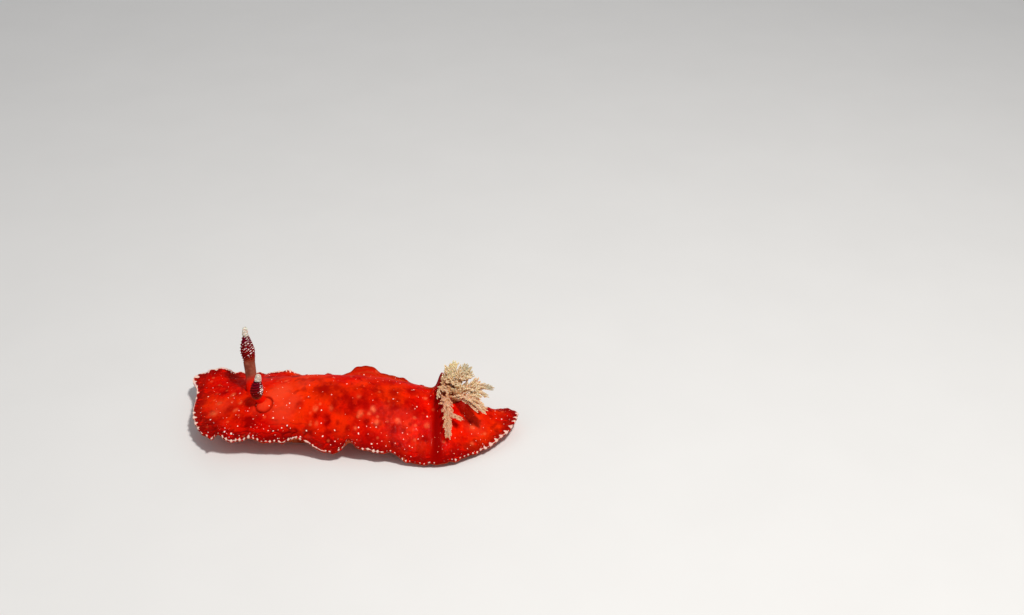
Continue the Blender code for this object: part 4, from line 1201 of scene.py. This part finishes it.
def add_tube(bm, path, start_radius, end_radius, sides_level):
    """Adds a closed tapering tube along a path."""
    curve = bpy.data.curves.new("rachis", "CURVE")
    curve.dimensions = "3D"
    curve.bevel_depth = 1.0
    curve.bevel_resolution = sides_level
    curve.use_fill_caps = True
    spline = curve.splines.new("POLY")
    last = len(path) - 1
    spline.points.add(last)
    for i, (knot, point) in enumerate(zip(spline.points, path)):
        knot.co = (*point, 1.0)
        knot.radius = start_radius + (end_radius - start_radius) * i / last
    drawn = bpy.data.objects.new("rachis", curve)
    mesh = bpy.data.meshes.new_from_object(drawn)
    bpy.data.objects.remove(drawn)
    bpy.data.curves.remove(curve)
    mark(mesh, "tip", np.zeros(len(mesh.vertices)))
    bm.from_mesh(mesh)
    bpy.data.meshes.remove(mesh)


def place_finger(bm, place, across, onward, sweep, size, fingers, dice):
    """Sets one of the fingers on a spray, swept towards the spray's tip."""
    way = (across * math.cos(sweep) + onward * math.sin(sweep)).normalized()
    facing = way.cross(onward)
    facing = facing.normalized() if facing.length > 0.01 else way.orthogonal().normalized()
    turn = Matrix((way, facing.cross(way), facing)).transposed().to_4x4()
    matrix = Matrix.Translation(place) @ turn @ Matrix.Scale(size, 4)
    append(bm, dice.choice(fingers), matrix)


def add_spray(bm, path, length, normal, fingers, dice):
    """A side branch of a plume, set with stubby fingers on both sides and on top."""
    radius = 0.00009 + 0.04 * length
    add_tube(bm, path, 1.5 * radius, 0.8 * radius, 1)
    for row, start in ((-1.3, 0.6), (1.3, 1.0), (0.0, 0.8)):
        for place, onward, share in along_path(path, FINGER_SPACING, start * FINGER_SPACING):
            side = normal.cross(onward).normalized()
            lean = row + dice.uniform(-0.3, 0.3)
            across = side * math.sin(lean) + normal * math.cos(lean)
            size = (0.00024 + 0.12 * length) * (1 - 0.25 * share) * dice.uniform(0.75, 1.25)
            sweep = math.radians(dice.uniform(12, 40))
            place_finger(bm, place, across, onward, sweep, size, fingers, dice)
    onward = (path[-1] - path[-2]).normalized()
    place_finger(bm, path[-1], normal, onward, math.radians(80), TIP_FINGER, fingers, dice)


def spray_path(place, across, onward, sweep, length):
    """The midline of a spray that leaves its blade and bends towards the blade's tip."""
    way = across * math.cos(sweep) + onward * math.sin(sweep)
    bent = across * math.cos(1.4 * sweep) + onward * math.sin(1.4 * sweep)
    end = place + (way + bent).normalized() * length
    return interpolate_bezier(
        place, place + way * 0.4 * length, end - bent * 0.4 * length, end, SPRAY_POINTS
    )


def add_blade(bm, path, radius, half_width, fingers, dice, first=FIRST_SPRAY):
    """A plume or one of its limbs: a tapered midline with sprays on both sides and on its face."""
    add_tube(bm, path, radius, RACHIS_TIP_RADIUS, 3)
    side = (path[-1] - path[0]).cross(gill_axis()).normalized()
    sprays = []
    for row, start in ((-1, 1.0), (1, 0.5), (0, 0.75)):
        for place, onward, share in along_path(path, SPRAY_SPACING, start * SPRAY_SPACING):
            if share < first:
                continue
            length = half_width * float(profile(BLADE_SHAPE, share)) * dice.uniform(0.85, 1.15)
            length *= 1.0 if row else 0.8
            normal = (side.cross(onward) * -1).normalized()
            if normal.z < 0:
                normal.negate()
            rise = dice.uniform(0.05, 0.40) if row else 1.0
            across = (side * (row or dice.uniform(-0.4, 0.4)) + normal * rise).normalized()
            sweep = math.radians(dice.uniform(24, 40) + 24 * share)
            sprays.append((spray_path(place, across, onward, sweep, length), length, normal))
    lift_clear([point for points, _, _ in sprays for point in points[1:]], SPRAY_CLEARANCE)
    for points, length, normal in sprays:
        add_spray(bm, points, length, normal, fingers, dice)


def make_plume(number, fingers, material):
    """One plume, its branches and its inner limbs."""
    bearing, tip, branches = PLUMES[number - 1]
    half_width, grey, yellow, flushed = PLUME_BLADES[number - 1]
    dice = random.Random(100 + number)
    path = plume_path(bearing, tip)
    path[0] -= gill_axis() * ROOT_SINK
    path = path[:PLUME_POINTS - TIP_LEADS[number - 1]]
    bm = bmesh.new()
    bm.verts.layers.float.new("tip")
    short = number == SHORT_PLUME
    radius = RACHIS_RADIUS * (0.6 if short else 1)
    first = SHORT_PLUME_FIRST_SPRAY if short else FIRST_SPRAY
    add_blade(bm, path, radius, half_width, fingers, dice, first)
    for share, branch_tip in branches:
        branch = branch_path(path, share, Vector(branch_tip))[:-BRANCH_LEAD]
        add_blade(bm, branch, 0.7 * RACHIS_RADIUS, BRANCH_HALF_WIDTH, fingers, dice)
    for plume, share, limb_tip in INNER_LIMBS:
        if plume == number:
            limb = branch_path(path, share, Vector(limb_tip))
            add_blade(bm, limb, 0.6 * RACHIS_RADIUS, LIMB_HALF_WIDTH, fingers, dice)
    name = "gill_plume_" + str(number)
    mesh = mesh_from(bm, name)
    off = np.linalg.norm(coordinates(mesh) - np.array(tip), axis=1)
    mark(mesh, "grey", grey * smooth_step(0.0034, 0.0008, off))
    mark(mesh, "yellow", yellow * smooth_step(0.0060, 0.0020, off))
    mark(mesh, "flushed", np.full(len(off), flushed))
    place_piece(mesh, name + "_leaflets", material, "gill", name)


def make_gill(material):
    fingers = [finger(seed) for seed in range(FINGER_KINDS)]
    for number in range(1, len(PLUMES) + 1):
        make_plume(number, fingers, material)
    for mesh in fingers:
        bpy.data.meshes.remove(mesh)


# Materials

class Shade:
    """One material and the nodes that lead to its shader."""

    def __init__(self, name):
        self.material = bpy.data.materials.new(name)
        self.material.use_nodes = True
        self.tree = self.material.node_tree
        self.shader = self.tree.nodes["Principled BSDF"]
        self.place = self.tree.nodes.new("ShaderNodeTexCoord").outputs["Object"]

    def feed(self, socket, value):
        if isinstance(value, bpy.types.NodeSocket):
            self.tree.links.new(value, socket)
        else:
            socket.default_value = value

    def node(self, kind, inputs, **settings):
        made = self.tree.nodes.new(kind)
        for key, value in settings.items():
            setattr(made, key, value)
        for key, value in inputs.items():
            self.feed(made.inputs[key], value)
        return made

    def noise(self, size, detail=2.0, roughness=0.5, at=None, shift=0.0):
        vector = self.stretched(at or self.place, (1, 1, 1), shift)
        made = self.node("ShaderNodeTexNoise", {
            "Vector": vector, "Scale": 1 / size, "Detail": detail, "Roughness": roughness,
        })
        return made.outputs["Fac"]

    def stretched(self, vector, scale, shift=0.0):
        made = self.node("ShaderNodeMapping", {
            "Vector": vector, "Scale": scale, "Location": (shift, 0.7 * shift, -0.4 * shift),
        })
        return made.outputs["Vector"]

    def cells(self, size):
        """The distance from the middle of each cell of a pattern, and a colour drawn for it."""
        made = self.node("ShaderNodeTexVoronoi", {"Vector": self.place, "Scale": 1 / size})
        return made.outputs["Distance"], made.outputs["Color"]

    def drawn_cells(self, size):
        """The distance from the middle of each cell, and two numbers drawn for the cell."""
        distance, tint = self.cells(size)
        drawn = self.node("ShaderNodeSeparateColor", {"Color": tint})
        return distance, drawn.outputs[0], drawn.outputs[1]

    def attribute(self, name):
        return self.node("ShaderNodeAttribute", {}, attribute_name=name).outputs["Fac"]

    def maths(self, operation, first, second=0.0):
        made = self.node("ShaderNodeMath", {0: first, 1: second}, operation=operation)
        return made.outputs["Value"]

    def times(self, first, second):
        return self.maths("MULTIPLY", first, second)

    def plus(self, first, second):
        return self.maths("ADD", first, second)

    def step(self, value, low, high, bottom=0.0, top=1.0):
        """A smooth rise from bottom to top while a value goes from low to high."""
        made = self.node("ShaderNodeMapRange", {
            "Value": value, "From Min": low, "From Max": high, "To Min": bottom, "To Max": top,
        }, interpolation_type="SMOOTHSTEP")
        return made.outputs["Result"]

    def blend(self, share, first, second):
        """The first colour where the share is 0 and the second where it is 1."""
        made = self.node("ShaderNodeMix", {0: share, 6: first, 7: second}, data_type="RGBA")
        return made.outputs[2]

    def bump(self, height, distance, strength=1.0):
        inputs = {"Height": height, "Distance": distance, "Strength": strength}
        return self.node("ShaderNodeBump", inputs).outputs["Normal"]

    def finish(self, colour, roughness, normal=None, **sockets):
        """Joins the nodes to the shader and sets its other sockets, such as Coat_Weight."""
        self.feed(self.shader.inputs["Base Color"], colour)
        self.feed(self.shader.inputs["Roughness"], roughness)
        if normal is not None:
            self.feed(self.shader.inputs["Normal"], normal)
        for name, value in sockets.items():
            self.shader.inputs[name.replace("_", " ")].default_value = value
        return self.material


BRIGHT_RED = (0.86, 0.006, 0.0, 1)
ORANGE_RED = (0.92, 0.032, 0.001, 1)
# Lighter skin, and a painted pool of light where the back is most strongly lit
LIT_GLOW_RED = (1.0, 0.070, 0.022, 1)
DEEP_RED = (0.62, 0.001, 0.0, 1)
BLOTCH_RED = (0.33, 0.0005, 0.0, 1)
CRIMSON = (0.17, 0.001, 0.001, 1)
# Painted shade for the fold in front of the gill and the gill pocket's lip
FOLD_SHADE_RED = (0.30, 0.0005, 0.0, 1)
PALE_ORANGE = (1.0, 0.20, 0.065, 1)
EDGE_WHITE = (0.92, 0.60, 0.50, 1)
# The white of specks and tubercle caps, partly white skin and partly painted glints
FLECK_GLINT_WHITE = (1.0, 0.84, 0.76, 1)
RUFFLE_ORANGE = (0.50, 0.045, 0.008, 1)
UNDER_ORANGE = (0.55, 0.075, 0.020, 1)
FOOT_ORANGE = (0.80, 0.17, 0.06, 1)
WET = {"Coat_Weight": 0.09, "Coat_Roughness": 0.06, "Coat_IOR": 1.33, "Specular_IOR_Level": 0.0}


def red_ground(shade, mottle, grain):
    """The clouded reds of the back, with its lighter areas and its dark blotches."""
    broad = shade.noise(0.0095, 2.0, 0.5, shift=0.09)
    patch = shade.noise(0.0042, 2.0, 0.5, shift=0.31)
    blotch = shade.noise(0.0015, 1.0, 0.5, shift=0.83)
    colour = shade.blend(shade.step(mottle, 0.36, 0.60), DEEP_RED, BRIGHT_RED)
    colour = shade.blend(shade.step(broad, 0.42, 0.62, 0.0, 0.75), colour, ORANGE_RED)
    colour = shade.blend(shade.step(patch, 0.54, 0.40, 0.0, 0.65), colour, DEEP_RED)
    colour = shade.blend(shade.step(blotch, 0.45, 0.27, 0.0, 0.55), colour, BLOTCH_RED)
    colour = shade.blend(shade.step(grain, 0.54, 0.80, 0.0, 0.6), colour, ORANGE_RED)
    colour = shade.blend(shade.step(grain, 0.46, 0.22, 0.0, 0.45), colour, BLOTCH_RED)
    # Lighter areas: partly lighter skin, partly a painted pool of light
    colour = shade.blend(shade.attribute("lit_glow"), colour, LIT_GLOW_RED)
    ragged = shade.times(shade.attribute("dark"), shade.step(mottle, 0.64, 0.36, 0.40, 1.8))
    return shade.blend(ragged, colour, BLOTCH_RED)


def edge_crimson(shade, colour, mottle, to_margin):
    """The crimson band along the margin, with brighter ridges in it that are painted highlights on
    its wrinkles.
    """
    raggedness = shade.step(mottle, 0.2, 0.8, 0.45, 1.7)
    zone = shade.maths("DIVIDE", to_margin, shade.times(shade.attribute("tint_width"), raggedness))
    colour = shade.blend(shade.step(zone, 1.1, 0.1, 0.0, 0.80), colour, CRIMSON)
    flattened = shade.stretched(shade.place, (0.5, 1, 1))
    # Painted highlights where the margin's wrinkles would catch the light
    ridge_highlights = shade.step(shade.noise(0.0006, 2.0, 0.6, at=flattened, shift=0.6), 0.52, 0.70, 0.0, 0.7)
    return shade.blend(shade.times(ridge_highlights, shade.step(zone, 1.4, 0.5)), colour, BRIGHT_RED)


def skin_shade():
    shade = Shade("mantle_skin")
    to_margin = shade.attribute("to_margin")
    mottle = shade.noise(0.0022, 3.0, 0.6, shift=0.02)
    grain = shade.noise(0.00042, 3.0, 0.6, shift=0.05)
    colour = edge_crimson(shade, red_ground(shade, mottle, grain), mottle, to_margin)
    # Painted shade in the bottoms of the creases beside the near margin
    colour = shade.blend(shade.attribute("shaded_crease"), colour, CRIMSON)
    colour = shade.blend(shade.times(shade.attribute("pleat"), 0.7), colour, RUFFLE_ORANGE)
    # Painted shade on the fold's slope that faces the head and on the gill pocket's lip
    colour = shade.blend(shade.attribute("fold"), colour, FOLD_SHADE_RED)
    # Painted shade in the ring grooves round the rhinophores' sheaths
    colour = shade.blend(shade.times(shade.attribute("groove"), 0.5), colour, CRIMSON)
    colour = shade.blend(faint_dots(shade), colour, PALE_ORANGE)
    colour = shade.blend(pale_spots(shade), colour, PALE_ORANGE)
    # White tubercle caps with a pale halo, partly white skin and partly painted glints
    fleck_and_glint = shade.plus(shade.attribute("fleck_and_glint"), shade.times(grain, 0.5))
    colour = shade.blend(shade.step(fleck_and_glint, 0.62, 0.80, 0.0, 0.5), colour, PALE_ORANGE)
    colour = shade.blend(shade.step(fleck_and_glint, 0.78, 0.98), colour, FLECK_GLINT_WHITE)
    colour = shade.blend(tiny_flecks_and_glints(shade), colour, FLECK_GLINT_WHITE)
    colour = shade.blend(white_edge(shade, to_margin), colour, EDGE_WHITE)
    colour = shade.blend(shade.attribute("under"), colour, UNDER_ORANGE)
    pores, _ = shade.cells(0.00055)
    normal = shade.bump(shade.plus(shade.times(pores, -0.6), grain), 0.00006, 0.8)
    film = shade.bump(shade.noise(0.00030, 2.0, 0.6, shift=0.4), 0.00009, 1.0)
    shade.feed(shade.shader.inputs["Coat Normal"], film)
    return shade.finish(
        colour, 0.5, normal,
        Subsurface_Weight=0.12, Subsurface_Radius=(1.0, 0.10, 0.03), Subsurface_Scale=0.0005, **WET,
    )


def faint_dots(shade):
    """Small faint lighter dots in some of the cells of a pattern."""
    distance, pick, _ = shade.drawn_cells(0.0017)
    dot = shade.step(distance, 0.26, 0.08, 0.0, 0.28)
    return shade.times(dot, shade.step(pick, 0.55, 0.75))


def pale_spots(shade):
    """Soft pale orange spots with a broken outline."""
    breaking = shade.step(shade.noise(0.0007, 2.0, 0.6, shift=0.7), 0.30, 0.70, 0.35, 1.25)
    return shade.times(shade.attribute("pale"), shade.times(breaking, 0.72))


def tiny_flecks_and_glints(shade):
    """Pin-point white specks, partly white spots and partly painted glints, in some of the cells of
    a fine pattern, more of them near the head.
    """
    distance, pick, size = shade.drawn_cells(0.00085)
    glint_crowd = shade.times(shade.attribute("glint_crowd"), 0.28)
    chosen = shade.step(shade.plus(pick, glint_crowd), 0.80, 0.82)
    radius = shade.plus(shade.step(size, 0.0, 1.0, 0.07, 0.15), shade.times(glint_crowd, 0.25))
    return shade.times(chosen, shade.step(shade.maths("SUBTRACT", radius, distance), 0.0, 0.03))


def white_edge(shade, to_margin):
    """The margin's thin white line, broken in places, with teeth of uneven length on its beads."""
    line = shade.node("ShaderNodeCombineXYZ", {0: shade.attribute("passed")})
    in_millimetres = shade.stretched(shade.place, (1000, 1000, 1000), 2.0)
    ragged = shade.noise(0.35, 2.0, 0.6, at=in_millimetres)
    amount = shade.noise(2.6, 2.0, 0.5, at=line.outputs[0], shift=9.0)
    turn = shade.times(shade.attribute("bead_count"), 2 * math.pi)
    wave = shade.plus(shade.times(shade.maths("COSINE", turn), 0.5), 0.5)
    bead = shade.times(wave, shade.attribute("bead_size"))
    whole = shade.plus(shade.step(amount, 0.42, 0.62, 0.0, 0.6), bead)
    whole = shade.plus(whole, shade.attribute("rim"))
    line_width = shade.step(shade.plus(whole, ragged), 0.70, 1.10, -0.06, 0.12)
    rim = shade.times(shade.attribute("rim"), shade.step(amount, 0.40, 0.60, 0.0, 0.8))
    tooth = shade.attribute("tooth")
    height = shade.times(shade.step(bead, 0.30, 0.95), tooth)
    height = shade.plus(height, shade.maths("MINIMUM", tooth, 0.0))
    reach = shade.plus(shade.plus(line_width, rim), height)
    rough = shade.plus(to_margin, shade.times(ragged, 0.30))
    return shade.step(shade.maths("SUBTRACT", reach, rough), -0.15, -0.05)


def flank_shade():
    shade = Shade("flank_skin")
    mottle = shade.noise(0.0014, 3.0, 0.55)
    grain = shade.noise(0.0004, 3.0, 0.6, shift=0.03)
    height = shade.attribute("height")
    dot, _ = shade.cells(0.0011)
    colour = shade.blend(shade.step(mottle, 0.38, 0.66), UNDER_ORANGE, FOOT_ORANGE)
    colour = shade.blend(shade.step(height, 0.5, 3.0, 0.0, 0.45), colour, BRIGHT_RED)
    colour = shade.blend(shade.step(dot, 0.26, 0.14, 0.0, 0.6), colour, DEEP_RED)
    colour = shade.blend(shade.step(grain, 0.62, 0.80, 0.0, 0.4), colour, PALE_ORANGE)
    colour = shade.blend(shade.step(height, 0.55, 0.10, 0.0, 0.35), colour, PALE_ORANGE)
    colour = shade.blend(shade.times(shade.attribute("mouth"), 0.35), colour, DEEP_RED)
    return shade.finish(
        colour, shade.step(grain, 0.3, 0.7, 0.36, 0.52), shade.bump(grain, 0.00005, 0.6),
        Subsurface_Weight=0.25, Subsurface_Radius=(1.0, 0.3, 0.15), Subsurface_Scale=0.0007, **WET,
    )


STALK_BROWN = (0.20, 0.040, 0.022, 1)
STALK_PALE = (0.30, 0.080, 0.045, 1)
CLUB_PURPLE = (0.13, 0.001, 0.012, 1)
CLUB_CRIMSON = (0.20, 0.003, 0.003, 1)
CLUB_EDGE = (0.28, 0.008, 0.008, 1)
CLUB_BROWN = (0.30, 0.030, 0.010, 1)
# The white of the club's specks, partly painted highlights on its lit side
SPECK_HIGHLIGHT_WHITE = (1.0, 0.82, 0.78, 1)
KNOB_WHITE = (0.84, 0.78, 0.66, 1)
KNOB_GREY = (0.40, 0.28, 0.22, 1)


def club_specks_and_highlights(shade, share, leaf):
    """White specks on the edges of the leaves, thicker to the club's tip and crowded on its lit side
    as painted highlights.
    """
    distance, pick, _ = shade.drawn_cells(0.00028)
    lit_favour = shade.times(shade.attribute("lit_side"), shade.step(share, 0.0, 0.5, 0.25, 1.0))
    chosen = shade.maths("SUBTRACT", pick, shade.step(lit_favour, 0.25, 0.95, 0.98, 0.10))
    dot = shade.times(shade.step(chosen, 0.0, 0.03), shade.step(distance, 0.60, 0.40))
    return shade.times(dot, shade.step(leaf, 0.05, 0.25))


def rhinophore_shade():
    shade = Shade("rhinophore_skin")
    share = shade.attribute("share")
    leaf = shade.attribute("leaf")
    grain = shade.noise(0.0003, 3.0, 0.6)
    cloud = shade.noise(0.0011, 2.0, 0.5, shift=0.02)
    streaks = shade.noise(0.00022, 2.0, 0.6, shift=0.5)
    stalk = shade.blend(shade.step(cloud, 0.40, 0.66), STALK_BROWN, STALK_PALE)
    stalk = shade.blend(shade.attribute("rooted"), stalk, BRIGHT_RED)
    leaves = shade.blend(shade.step(share, 0.35, 0.85), CLUB_CRIMSON, CLUB_PURPLE)
    leaves = shade.blend(shade.step(leaf, 0.35, 0.85, 0.0, 0.8), leaves, CLUB_EDGE)
    leaves = shade.blend(shade.step(share, 0.22, -0.02), leaves, CLUB_BROWN)
    # White specks, crowded on the lit side as painted highlights
    leaves = shade.blend(club_specks_and_highlights(shade, share, leaf), leaves, SPECK_HIGHLIGHT_WHITE)
    knob = shade.blend(shade.step(streaks, 0.58, 0.44, 0.0, 0.75), KNOB_WHITE, KNOB_GREY)
    colour = shade.blend(shade.step(share, -0.10, 0.14), stalk, leaves)
    ragged = shade.plus(share, shade.times(streaks, 0.16))
    colour = shade.blend(shade.step(ragged, 1.00, 1.09), colour, knob)
    return shade.finish(
        colour, shade.step(grain, 0.3, 0.7, 0.32, 0.50), shade.bump(grain, 0.00003, 0.5),
        Subsurface_Weight=0.25, Subsurface_Radius=(1.0, 0.35, 0.2), Subsurface_Scale=0.0005, **WET,
    )


GILL_BEIGE = (0.90, 0.58, 0.28, 1)
GILL_ROSE = (0.94, 0.48, 0.28, 1)
GILL_GREY = (0.46, 0.41, 0.29, 1)
GILL_FLUSH = (0.88, 0.24, 0.11, 1)
GILL_YELLOW = (0.95, 0.74, 0.36, 1)
GILL_CREAM = (1.0, 0.82, 0.54, 1)
GILL_ROOT = (0.62, 0.18, 0.045, 1)
GILL_SHADE = (0.72, 0.36, 0.18, 1)


def gill_shade():
    shade = Shade("gill_flesh")
    tip = shade.attribute("tip")
    cloud = shade.noise(0.0022, 3.0, 0.55)
    grain = shade.noise(0.00028, 2.0, 0.6, shift=0.04)
    base = tuple(gill_base())
    off = shade.node("ShaderNodeVectorMath", {0: shade.place, 1: base}, operation="DISTANCE")
    rooted = shade.step(off.outputs["Value"], 0.0042, 0.0015, 0.0, 0.8)
    colour = shade.blend(shade.step(cloud, 0.38, 0.64), GILL_ROSE, GILL_BEIGE)
    colour = shade.blend(shade.attribute("yellow"), colour, GILL_YELLOW)
    colour = shade.blend(shade.step(tip, 0.40, 0.05, 0.0, 0.55), colour, GILL_SHADE)
    colour = shade.blend(shade.step(tip, 0.40, 0.95, 0.0, 0.75), colour, GILL_CREAM)
    colour = shade.blend(shade.attribute("flushed"), colour, GILL_FLUSH)
    # Whitish flecks, partly painted highlights on the gill's lumps
    colour = shade.blend(shade.step(grain, 0.58, 0.76, 0.0, 0.6), colour, FLECK_GLINT_WHITE)
    colour = shade.blend(shade.attribute("grey"), colour, GILL_GREY)
    colour = shade.blend(rooted, colour, GILL_ROOT)
    return shade.finish(
        colour, 0.42, shade.bump(grain, 0.00003, 0.5),
        Subsurface_Weight=0.5, Subsurface_Radius=(1.0, 0.6, 0.4), Subsurface_Scale=0.0006, **WET,
    )


# The studio: camera, floor and lights

CAMERA_PLACE = (0.0289525, -0.2116118, 0.1578621)
CAMERA_TILT = math.radians(58)
FLOOR_HALF_WIDTH = 3
FLOOR_GREY = (0.78, 0.775, 0.76, 1)
FLOOR_PALE = (0.82, 0.815, 0.80, 1)
SKY_COLOUR = (0.93, 0.95, 1.0, 1)
SKY_STRENGTH = 0.30
# Lights, as name: (place, width, power, colour)
LIGHTS = {
    "key_light": ((0.12, -0.12, 0.36), 0.045, 1.22, (1.0, 0.97, 0.93)),
    "fill_light": ((-0.35, -0.15, 0.25), 0.30, 0.14, (1.0, 0.97, 0.95)),
    "back_light": ((-0.05, 0.40, 0.28), 0.20, 0.10, (1.0, 0.98, 0.96)),
}


def make_camera():
    camera = bpy.data.cameras.new("camera")
    camera.lens = 50
    camera.sensor_width = 36
    camera.clip_start = 0.005
    holder = bpy.data.objects.new("camera", camera)
    holder.location = CAMERA_PLACE
    holder.rotation_euler = (CAMERA_TILT, 0, 0)
    bpy.context.scene.collection.objects.link(holder)
    bpy.context.scene.camera = holder


def make_floor():
    bm = bmesh.new()
    bmesh.ops.create_grid(bm, x_segments=4, y_segments=4, size=FLOOR_HALF_WIDTH)
    floor = bpy.data.objects.new("studio_floor", mesh_of(bm, "studio_floor"))
    shade = Shade("studio_floor")
    colour = shade.blend(shade.noise(0.02, 3.0, 0.5), FLOOR_GREY, FLOOR_PALE)
    floor.data.materials.append(shade.finish(colour, 0.85))
    bpy.context.scene.collection.objects.link(floor)


def make_light(name, place, size, power, colour):
    """A round soft light, turned to the origin."""
    light = bpy.data.lights.new(name, "AREA")
    light.shape = "DISK"
    light.size = size
    light.energy = power
    light.color = colour
    holder = bpy.data.objects.new(name, light)
    holder.location = place
    holder.rotation_euler = (-Vector(place)).to_track_quat("-Z", "Y").to_euler()
    holder.visible_camera = False
    bpy.context.scene.collection.objects.link(holder)


def make_studio():
    world = bpy.data.worlds.new("studio")
    world.use_nodes = True
    sky = world.node_tree.nodes["Background"]
    sky.inputs["Color"].default_value = SKY_COLOUR
    sky.inputs["Strength"].default_value = SKY_STRENGTH
    bpy.context.scene.world = world
    for name, values in LIGHTS.items():
        make_light(name, *values)
    bpy.context.scene.view_settings.view_transform = "Standard"


def main():
    make_camera()
    make_studio()
    make_floor()
    make_skin(skin_shade())
    flank = flank_shade()
    make_body(flank)
    leaves = rhinophore_shade()
    for side, sign in (("left", -1), ("right", 1)):
        make_tentacle(side, sign, flank)
        make_rhinophore(side, leaves)
    gill = gill_shade()
    make_gill(gill)
    make_papilla(gill)


main()
